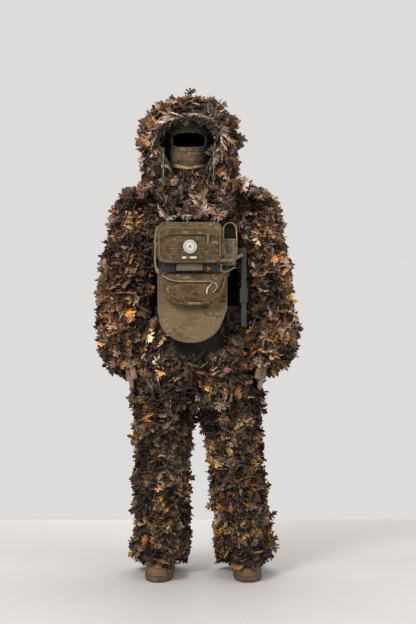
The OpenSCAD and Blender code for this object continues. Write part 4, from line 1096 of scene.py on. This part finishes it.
# ---------------------------------------------------------------- sleeves' ends, trouser ends
for s, tag in ((-1, "left"), (1, "right")):
    def cc(d, s=s):
        return ARM_X + s * d
    cuff_f = surface([[792, cc(252), -19, 47, 50, -22, 2], [800, cc(253), -18, 51, 54, -22, 2], [812, cc(255), -15, 53, 56, -22, 2], [822, cc(257), -13, 55, 58, -22, 2]])
    cloth("knit_cuff_" + tag, cuff_f, np.linspace(794, 820, 14), np.arange(0, 360, 3), "lining", "lower_sleeve_" + tag, ["sleeve_cuff_" + tag], "lining_camo", folds=2.0, fine=0.8, seed=23)
    P, nrm, down = scatter(cuff_f, 797, 822, 0, 360, 120)
    leaf_mesh("cuff_leaves_" + tag, P, nrm, down, W_ARM, 540, length=(42, 58), body="lower_sleeve_" + tag, flare=(16, 10), yaw=34, lift=(2, 9), box=LIMIT)
    ank_f = surface([[60, leg_x(s, 68), 12, 76, 84, -42, 2], [84, leg_x(s, 80), 14, 82, 89, -36, 2], [120, leg_x(s, 116), 14, 82, 90, -20, 2]])
    cloth("ankle_cloth_" + tag, ank_f, np.linspace(62, 118, 22), np.arange(0, 360, 3), "lining", "lower_leg_" + tag, ["ankle_cuff_" + tag], "lining_camo", folds=6, fine=1.5, seed=25, push=-1)
    P, nrm, down = scatter(ank_f, 70, 118, 0, 360, 190, lambda u, a, p: np.where(np.sin(np.radians(a)) < -0.2, 1.5, 0.8))
    leaf_mesh("hem_leaves_" + tag, P, nrm, down, W_LEG, 530, length=(42, 60), body="lower_leg_" + tag, flare=(24, 14), yaw=44, lift=(0, 10), box=LIMIT)
    # boots
    bx = leg_x(s, 40) + (6 if s > 0 else -2)
    boot_f = surface([[24, bx, -52, 49.5, 146, 0, 2.5], [34, bx, -52, 51.5, 147, 0, 2.5], [46, bx, -52, 51, 145, 0, 2.4], [62, bx, -43, 49, 131, 0, 2.3], [76, bx, -22, 47.5, 108, 0, 2.2], [92, bx, -2, 46, 84, 0, 2.1], [112, bx, 16, 45, 65, 0, 2], [150, bx, 24, 46, 58, 0, 2], [212, bx, 24, 50, 60, 0, 2]])

    def boot_g(z, a, f=boot_f, bx=bx):
        P = f(z, a).copy()
        toe = np.clip((-120 - P[..., 1]) / 80, 0, 1)
        P[..., 2] -= 10 * toe * np.clip((P[..., 2] - 30) / 40, 0, 1)
        P[..., 0] = bx + (P[..., 0] - bx) * (1 - 0.06 * np.clip((P[..., 1] + 20) / 100, 0, 1))
        return P
    bo = cloth("boot_suede_" + tag, boot_g, np.concatenate([np.linspace(25, 100, 34), np.linspace(104, 211, 22)]), np.arange(0, 360, 3.75), "boot", "lower_leg_" + tag, ["boot_upper_" + tag], "suede", folds=1.6, fine=0.3, seed=27, thick=4)
    P, nrm, down = scatter(boot_g, 58, 112, 212, 328, 85)
    leaf_mesh("instep_leaves_" + tag, P, nrm, down, W_LEG, 535, length=(38, 54), body="lower_leg_" + tag, flare=(18, 10), yaw=48, lift=(4, 13), box=LIMIT)
    top = [boot_g(211, a) for a in np.linspace(0, 364, 92)]
    parts = [tube_mesh(top, 4.2, 10, caps=False)]
    parts.append(tube_mesh([boot_g(27, a) + np.array([0, 0, -1.0]) for a in np.linspace(0, 364, 140)], 3.0, 8, caps=False))
    put_mesh("boot_collar_welt_" + tag, merge(parts), "boot", "lower_leg_" + tag)
    seams = []
    for zc, yc in ((0, -150), (0, -142)):  # the two rows across the toe cap
        pts = []
        for u in np.linspace(-1, 1, 40):
            zt = 30 + 37 * (1 - abs(u) ** 2.2)
            a = 270 + u * 62
            p = boot_g(zt, a)
            d = p - np.array([bx, -40, 10])
            pts.append(p + d / np.linalg.norm(d) * 1.0 + np.array([0, (yc + 150) * 1.0, 0.4]))
        seams.append(tube_mesh(pts, 1.0, 6))
    for a0 in (205, 335):  # quarter seams
        seams.append(tube_mesh([boot_g(z, a0 + (z - 30) * (0.16 if a0 < 270 else -0.16)) * 1.0 + np.array([-0.8 if a0 < 270 else 0.8, -0.3, 0]) for z in np.linspace(30, 205, 40)], 0.9, 6))
    put_mesh("boot_seams_" + tag, merge(seams), "thread", "lower_leg_" + tag)
    laces = []
    for i in range(7):
        z = 82 + i * 18
        l, r_ = boot_g(z, 244), boot_g(z + 9, 296)
        l2, r2 = boot_g(z + 9, 244), boot_g(z, 296)
        for a_, b_ in ((l, r_), (l2, r2)):
            mid = (a_ + b_) / 2 + np.array([0, -5.5, 1.5])
            laces.append(tube_mesh(curve_pts([a_ + (0, -1.5, 0), mid, b_ + (0, -1.5, 0)], 9), 1.9, 7, flat=0.6))
    put_mesh("boot_laces_" + tag, merge(laces), "tan_web", "lower_leg_" + tag)
    # the sole, with a raised tread edge and blocks
    so = paint("boot_sole_" + tag, "rubber")
    blocks = []
    for i, a in enumerate(np.linspace(0, 360, 57)[:-1]):
        c = boot_g(27, a)
        d = c - np.array([bx, -52, 27])
        d /= np.linalg.norm(d)
        q = c + d * 0.8
        t_ = np.array([-d[1], d[0], 0])
        lo, hi = -1.6, 1.6
        Vb = np.array([q + t_ * u * 3.4 + d * w_ + np.array([0, 0, z_]) for u in (-1, 1) for w_ in (lo, hi) for z_ in (-25.5, -8.0 - 3 * (i % 2))])
        blocks.append((Vb, box_mesh((0, 0, 0), (1, 1, 1))[1]))
    put_mesh("sole_lugs_" + tag, merge(blocks), "rubber", "lower_leg_" + tag)
    # gloves
    g = soften("glove_" + tag, "glove_suede_" + tag, "suede", "lower_sleeve_" + tag, voxel=3.0, smooth=5, amp=0.9, seed=31, scale=(14, 14, 14))
    gx = ARM_X + s * 252
    band = [(ARM_X + s * 252 + 26.5 * math.cos(t), -22 + 33 * math.sin(t), 810 + 2 * math.sin(t)) for t in np.linspace(0, 2 * math.pi * 1.01, 60)]
    put_mesh("glove_strap_" + tag, tube_mesh(band, 1.9, 10, flat=4.2, up=(0, 0, 1), caps=False), "tan_web", "lower_sleeve_" + tag)
for n in ("waistband",):
    paint(n, "black_web")

# ---------------------------------------------------------------- carrier under the jacket
soften("carrier_front", "carrier_front_pad", "black_cloth", "torso", voxel=5, smooth=4, amp=1.2, sim=(3.0, 0.004, 12))
soften("carrier_back", "carrier_back_pad", "black_cloth", "torso", voxel=5, smooth=4, amp=1.2, sim=(3.0, 0.003, 12))
soften("shoulder_straps", "shoulder_strap_webbing", "black_web", "torso", voxel=3, smooth=3, amp=0.5)
soften("cummerbund", "cummerbund_webbing", "black_web", "torso", voxel=3, smooth=3, amp=0.5, subdiv=0)
mags = soften("magazine_pouches", "magazine_pouch_cloth", "black_cloth", "torso", voxel=2.2, smooth=2, amp=0.8, subdiv=0, scale=(20, 20, 20))
mf = Front(mags)
parts = []
for i in range(3):
    x0, x1 = -122 + 66 * i, -62 + 66 * i
    for z in (1343, 1331, 1319):
        parts.append(ribbon(mf, [(x0 + 2, z), (x1 - 2, z)], 8.5, 1.6, default=-178))
put_mesh("magazine_pouch_webbing", merge(parts), "black_web", "torso")

# ---------------------------------------------------------------- main pouch
def slope_top(P):
    P = P.copy()
    k = np.clip((P[:, 2] - 1296) / 31, 0, 1)
    front = np.clip((-236 - P[:, 1]) / 15, 0, 1)
    P[:, 1] += front * (k ** 1.5) * 15
    P[:, 1] += front * 3.0
    return P


pb = soften("main_pouch_body", "main_pouch_body_cloth", "pouch", "torso", voxel=3.6, smooth=4, amp=1.0, sim=(3.5, 0.003, 14), subdiv=0)
lid = soften("main_pouch_lid", "main_pouch_lid_cloth", "pouch", "pouch_lid", voxel=3.4, smooth=5, amp=1.3, sim=(4.0, 0.006, 20), shape=slope_top, scale=(34, 34, 18))
lf_ = Front(lid)
CX, CZ = POUCH_X, 1254.5
trim = []
# the piping round the front panel, and the zip and piping round the gusset
pp = [(x, z) for x, z in rr(221, 122, 24, CX - 1, 1246)]
pp = pp + pp[:1]
pr = resample(pp, 4)
put_mesh("lid_piping", tube_mesh([(x, lf_.y(x, z, -246) - 0.4, z) for x, z in pr], 2.3, 8, up=(0, 1, 0.05), caps=False), "piping", "pouch_lid")
g1 = rr(234, 146, 26.5, CX, CZ)
g1 = resample(g1 + g1[:1], 5)
put_mesh("gusset_zip", tube_mesh([(x, -229.6, z) for x, z in g1], 2.6, 8, flat=1.0, up=(0, 1, 0), caps=False), "black_web", "pouch_lid")
put_mesh("gusset_piping", tube_mesh([(x, -234.6, z) for x, z in g1], 1.8, 8, up=(0, 1, 0), caps=False), "piping", "pouch_lid")
put_mesh("body_piping", tube_mesh([(x, -224.5, z) for x, z in g1], 1.8, 8, up=(0, 1, 0), caps=False), "piping", "torso")
# the flat pocket on the front, its zip and rows of webbing
panel = []
for z in np.linspace(1192, 1274, 12):
    panel.append(((-122 if z > 1196 else -118), z))
pz = ribbon(lf_, [(-127, 1231.5), (76, 1231.5)], 84, 1.4, step=6)
put_mesh("front_pocket_panel", pz, "pouch", "pouch_lid", replaces=["lid_pocket"])
lf2 = Front(lid, bpy.data.objects["front_pocket_panel"])
zip_path = curve_pts([(-122, 1269), (-112, 1275), (-96, 1278.5), (-30, 1279.5), (28, 1279), (50, 1277.5), (64, 1272)], 60)
put_mesh("pocket_zip", ribbon(lf2, zip_path, 4.6, 0.9, 0.2, step=3), "black_cloth", "pouch_lid")
put_mesh("pocket_zip_lips", merge([ribbon(lf2, zip_path + np.array([0, dz]), 3.2, 1.8, 0.2, step=3) for dz in (4.0, -4.0)]), "pouch", "pouch_lid")
put_mesh("pocket_zip_stitching", merge([stitches(lf2, zip_path + np.array([0, dz]), 1.6) for dz in (7.2, -7.2)] + [stitches(lf2, rr(198, 78, 8, -26, 1231.5) + rr(198, 78, 8, -26, 1231.5)[:1], 1.7)]), "thread", "pouch_lid")
rows_ = []
for z in (1240.5, 1230, 1219.5, 1209):
    for x0, x1 in ((-108, -57), (1, 52)):
        rows_.append(ribbon(lf2, [(x0, z), (x1, z)], 8.2, 1.5, default=-252))
put_mesh("pocket_webbing_rows", merge(rows_), "pouch", "pouch_lid")
put_mesh("webbing_row_stitches", merge([stitches(lf2, [(x, 1204), (x, 1245)], 2.0) for x in (-107, -82, -58, 2, 27, 51)]), "thread", "pouch_lid")
# pull tab on the pocket zip, which is its own body
yz = lf2.y(38, 1279, -252)
slider = [box_mesh((34, yz - 5.5, 1275), (43, yz - 0.8, 1284))]
slider.append(tube_mesh(curve_pts([(38.5, yz - 5, 1276), (38.2, yz - 7, 1270), (37.8, yz - 7, 1262), (37.2, yz - 6, 1249)], 12), 3.4, 8, flat=0.45, up=(0, 1, 0)))
sl = put_mesh("pocket_zip_slider", merge(slider), "tan_webz", "lid_slider", replaces=["lid_zip_slider"])
# badge: a plain disc with rings, ticks and a diamond
by = min(lf2.y(-27 + dx, 1239 + dz, -252) for dx in (-20, 0, 20) for dz in (-20, 0, 20)) - 0.2
BX, BZ = -27.5, 1239.0


def disc(r, y0, y1, n=64, bev=0.6, cx=BX, cz=BZ):
    rings = [(r, y0), (r, y1 + bev), (r - bev, y1), (r * 0.6, y1 - 0.15), (0.01, y1 - 0.2)]
    V = [(cx + q * math.cos(t), y, cz + q * math.sin(t)) for q, y in rings for t in np.arange(n) * 2 * math.pi / n]
    F = [[i * n + j, i * n + (j + 1) % n, (i + 1) * n + (j + 1) % n, (i + 1) * n + j] for i in range(len(rings) - 1) for j in range(n)]
    F.append([j for j in range(n)][::-1])
    return np.array(V), F


put_mesh("badge_face", disc(26.6, by + 2.5, by - 1.6), "white", "pouch_lid", replaces=["round_badge"])
ring = lambda R, r, y: tube_mesh([(BX + R * math.cos(t), y, BZ + R * math.sin(t)) for t in np.linspace(0, 2 * math.pi * 1.03, 84)], r, 8, up=(0, 1, 0), caps=False)
ink = [ring(26.6, 1.7, by - 1.0), ring(17.6, 0.65, by - 1.75)]
for i in range(28):
    t = i * 2 * math.pi / 28
    if i % 7 in (0,):
        continue
    c, s_ = math.cos(t), math.sin(t)
    ink.append(tube_mesh([(BX + q * c, by - 1.75, BZ + q * s_) for q in (20.0, 21.6, 23.2)], 0.55, 6, up=(0, 1, 0)))
dia = np.array([(BX, by - 2.1, BZ + 8.5), (BX - 6.2, by - 2.1, BZ - 5), (BX, by - 2.1, BZ - 1.8), (BX + 6.2, by - 2.1, BZ - 5)])
dia = np.concatenate([dia, dia + (0, 1.2, 0)])
ink.append((dia, [[0, 1, 2], [0, 2, 3], [4, 6, 5], [4, 7, 6], [0, 4, 5, 1], [1, 5, 6, 2], [2, 6, 7, 3], [3, 7, 4, 0]]))
put_mesh("badge_rings", merge(ink), "ink", "pouch_lid")
# plain bar tape: two pale blocks with a dark red one between
put_mesh("bar_tape_pale", merge([ribbon(lf2, [(-56.5, 1198.5), (-42, 1198.5)], 8.4, 1.4), ribbon(lf2, [(-27, 1198.5), (-4, 1198.5)], 8.4, 1.4)]), "white", "pouch_lid", replaces=["name_tape"])
put_mesh("bar_tape_red", ribbon(lf2, [(-41.5, 1198.5), (-27.5, 1198.5)], 8.0, 1.3), "red", "pouch_lid")
put_mesh("lid_tabs", merge([ribbon(lf2, [(-119, 1185.5), (-88, 1185.5)], 9.0, 2.4, default=-246), ribbon(lf2, [(32, 1185.5), (67, 1185.5)], 9.0, 2.4, default=-246)]), "tan_web", "pouch_lid")

# ---------------------------------------------------------------- straps between the two pouches
parts = [ribbon(None, [(x, 1164.5) for x in (-78, 19)], 27, 2.6, default=-223.5, step=8)]
put_mesh("middle_webbing", merge(parts), "camo_web", "torso", replaces=["bottom_straps"])
put_mesh("dark_webbing", merge([ribbon(None, [(-134, 1163.5), (-79, 1163.5)], 30, 2.2, default=-219.5, step=8), ribbon(None, [(20, 1163.5), (78, 1163.5)], 30, 2.2, default=-219.5, step=8)]), "black_web", "torso")
tri = np.array([(34.5, -226.5, 1168.5), (34.5, -226.5, 1149), (51.5, -226.5, 1158.7)])
tri = np.concatenate([tri, tri + (0, 2.6, 0)])
o = put_mesh("red_pull_tab", (tri, [[0, 1, 2], [3, 5, 4], [0, 3, 4, 1], [1, 4, 5, 2], [2, 5, 3, 0]]), "red", "torso")
put_mesh("left_side_strap", merge([tube_mesh(curve_pts([(-136, -208, 1318), (-148, -214, 1310), (-153, -216, 1290), (-155, -216, 1230), (-153.5, -214, 1165), (-149, -212, 1152), (-140, -208, 1148)], 40), 4.6, 8, flat=0.4, up=(0, 1, 0)), tube_mesh(curve_pts([(-151, -218, 1160), (-148, -220, 1150), (-144, -219, 1143)], 8), 5.5, 8, flat=0.45, up=(0, 1, 0))]), "tan_webz", "torso")
rs = []
rs.append(tube_mesh(curve_pts([(84, -222, 1268), (92, -212, 1246), (101, -203, 1222), (108, -200, 1204), (112, -198, 1188)], 22), 3.6, 8, flat=0.4, up=(0, 1, 0)))
rs.append(tube_mesh(curve_pts([(84, -214, 1246), (91, -207, 1230), (97, -203, 1212), (101, -200, 1195)], 18), 3.0, 8, flat=0.4, up=(0, 1, 0)))
rs.append(tube_mesh(curve_pts([(80, -216, 1188), (98, -206, 1192), (118, -198, 1190), (134, -186, 1196), (152, -172, 1206), (166, -158, 1214)], 26), 6.0, 8, flat=0.3, up=(0, 1, 0)))
rs.append(tube_mesh(curve_pts([(78, -214, 1180), (86, -216, 1172), (84, -214, 1156), (92, -206, 1148), (108, -196, 1150), (126, -186, 1160), (140, -178, 1166)], 26), 3.2, 8, flat=0.5, up=(0, 1, 0)))
put_mesh("right_side_straps", merge(rs), "tan_web", "torso")

# ---------------------------------------------------------------- radio pouch
rp = soften("radio_pouch", "radio_pouch_cloth", "radio", "torso", voxel=2.4, smooth=3, amp=1.0, subdiv=0, scale=(18, 18, 18))
put_mesh("radio_pouch_back", ribbon(None, [(116, 1262), (115, 1318)], 43, 3.0, default=-160, step=6), "black_cloth", "torso")
rf = Front(rp)
put_mesh("radio_pouch_binding", merge([ribbon(rf, [(90, 1268), (139, 1268)], 6, 1.6, default=-191), ribbon(rf, [(96, 1262), (99, 1178)], 5, 1.6, default=-191), ribbon(rf, [(132, 1262), (130, 1178)], 5, 1.6, default=-191)]), "tan_webz", "torso")
rx = POUCH_X + 116.5
bp2 = [(rx + 7, -172, 1240), (rx + 7, -172, 1290)] + [(rx + 31 + 24 * math.cos(math.radians(a)), -172, 1306 + 26 * math.sin(math.radians(a))) for a in (150, 120, 90, 60, 30)] + [(143.6, -172, 1290), (143.6, -172, 1205)]
put_mesh("retention_elastic", tube_mesh(curve_pts(bp2, 70), 2.3, 9, up=(0, 1, 0)), "elastic", "torso", replaces=["retention_bungee"])

# ---------------------------------------------------------------- lower pouch and apron
def lower_shape(P):
    P = P.copy()
    front = np.clip((-196 - P[:, 1]) / 26, 0, 1)
    P[:, 1] += front * 3.0
    return P


lp = soften("lower_pouch", "lower_pouch_cloth", "pouch", "lower_pouch", voxel=3.4, smooth=4, amp=1.6, sim=(4.0, 0.006, 18), shape=lower_shape, scale=(40, 40, 14), seed=41)
pf = Front(lp)
z1 = curve_pts([(-130, 1128), (-110, 1117), (-86, 1110), (-20, 1107.5), (54, 1107.5)], 60)
put_mesh("lower_zip", ribbon(pf, z1, 4.6, 1.0, 0.2, step=3, default=-215), "black_cloth", "lower_pouch")
put_mesh("lower_zip_lips", merge([ribbon(pf, z1 + np.array([0, 5.2]), 6.0, 2.6, 0.2, step=3, default=-215)]), "tan_web", "lower_pouch")
z2 = curve_pts([(54, 1110), (66, 1104), (71, 1094), (66, 1082), (55, 1071)], 30)
z3 = curve_pts([(99, 1128), (90, 1110), (84, 1092), (72, 1078), (58, 1069)], 30)
put_mesh("side_zip", ribbon(pf, z3, 4.4, 1.0, 0.2, step=3, default=-212), "black_cloth", "lower_pouch")
put_mesh("side_zip_tape", ribbon(pf, z2, 5.0, 1.8, 0.2, step=3, default=-214), "orange_web", "lower_pouch")
out = curve_pts([(-130, 1136), (-136, 1110), (-132, 1086), (-112, 1056), (-90, 1040), (-60, 1031), (-10, 1029), (30, 1034), (58, 1049), (82, 1070), (96, 1100), (100, 1130)], 90)
put_mesh("lower_piping", tube_mesh([(x, pf.y(x, z, -196) - 0.6, z) for x, z in out], 2.0, 8, up=(0, 1, 0.05)), "piping", "lower_pouch")
put_mesh("orange_tab", ribbon(pf, [(-38, 1032), (11, 1031)], 8.5, 2.6, 1.0, default=-206), "orange_web", "lower_pouch")
put_mesh("lower_stitching", merge([stitches(pf, z1 + np.array([0, 11]), 1.2, default=-215), stitches(pf, z1 + np.array([0, -6]), 0.6, default=-215), stitches(pf, z3 + np.array([-8, -2]), 0.6, default=-212)]), "thread", "lower_pouch")
yy = pf.y(34, 1100, -215)
lz = [box_mesh((49, pf.y(53, 1107, -215) - 5, 1103), (58, pf.y(53, 1107, -215) - 1, 1112))]
put_mesh("lower_zip_slider_body", merge(lz), "metal", "lower_slider", replaces=["lower_zip_slider"])
pl = tube_mesh(curve_pts([(52, yy - 5, 1104), (44, yy - 8, 1096), (37, yy - 8.5, 1088), (34, yy - 8, 1078), (33.5, yy - 7, 1067)], 20), [1.4] * 8 + [2.6] * 12, 8, flat=0.5, up=(0, 1, 0))
put_mesh("lower_zip_pull", pl, "white", "lower_slider")


def apron_shape(P):
    P = P.copy()
    x, z = P[:, 0] - APRON_X, P[:, 2]
    d = np.clip((1080 - z) / 190, 0, 1)
    P[:, 1] += -7 * d**2 + 3.5 * np.sin(x / 34.0 + 1) * d - 0.0006 * x**2 * (1 - d)
    return P


ap = soften("apron_flap", "apron_cloth", "apron", "apron", voxel=3.0, smooth=3, amp=1.4, shape=apron_shape, subdiv=0, scale=(50, 50, 30), seed=43)
af_ = Front(ap)
apts = [(-146, 1150), (-146, 1010)] + [(APRON_X - 6 + 116 * math.cos(math.radians(a)), 984 + 96 * math.sin(math.radians(a))) for a in range(195, 346, 10)] + [(106, 1010), (106, 1150)]
apr = resample(apts, 5)
put_mesh("apron_binding", tube_mesh([(x, (af_.y(x, z, -164)) + 1.2, z) for x, z in apr], 3.4, 8, flat=1.0, up=(0, 1, 0.05)), "piping", "apron")
put_mesh("apron_stitching", stitches(af_, resample([(APRON_X + (x - APRON_X) * 0.93, 1100 + (z - 1100) * 0.95) for x, z in apts], 5), 0.4, default=-164), "thread", "apron")

# ---------------------------------------------------------------- jacket edges and the strap at the side
edges = []
for a, dx, dy in ((205, -1, -11), (350, 3, -14)):
    pts = np.array([jacket_f(z, a) + (dx, dy, 0) for z in np.linspace(798, 1332, 90)])
    w_ = np.arange(90) / 90
    pts[:, 0] += 3.5 * np.sin(w_ * 21 + a) + 2 * np.sin(w_ * 47)
    pts[:, 1] += 2.5 * np.cos(w_ * 17 + a)
    edges.append(tube_mesh(pts, 5.0, 8, flat=0.4, up=(1, 0.6, 0)))
put_mesh("jacket_edge_binding", merge(edges), "binding", "torso", replaces=["front_edge_binding"])
soften("side_strap", "side_strap_webbing", "grey_web", "torso", voxel=1.8, smooth=2, amp=0.3, subdiv=0)
soften("side_buckle", "side_buckle_webbing", "grey_web", "side_buckle", voxel=1.8, smooth=2, amp=0.3, subdiv=0)
for n in ("hem_eyelets", "cord_lock_left", "cord_lock_right"):
    paint(n, "plastic")

# ---------------------------------------------------------------- stage
me = bpy.data.meshes.new("floor")
me.from_pydata([(-7, -7, 0), (7, -7, 0), (7, 1.28, 0), (-7, 1.28, 0)], [], [(0, 1, 2, 3)])
floor_mat, ft, fb = new_mat("studio_floor", 0.55, 0.3)
fv = coords(ft, False)
fsep = N(ft, "ShaderNodeSeparateXYZ")
ft.links.new(fv, fsep.inputs[0])
# the floor colour is painted lighter toward the back: painted light that fades the floor into the backdrop
far = math_n(ft, "MULTIPLY", math_n(ft, "SUBTRACT", fsep.outputs["Y"], 0.35), 1.1, True)
near_c = ramp(ft, noise(ft, fv, 1.4, 3), [(0.3, (0.478, 0.462, 0.452)), (0.7, (0.502, 0.486, 0.476))])
ft.links.new(mix(ft, far, near_c, (0.60, 0.585, 0.57)), fb.inputs["Base Color"])
me.materials.append(floor_mat)
floor = link(bpy.data.objects.new("floor", me))

# ---------------------------------------------------------------- update the scene
bpy.context.view_layer.update()
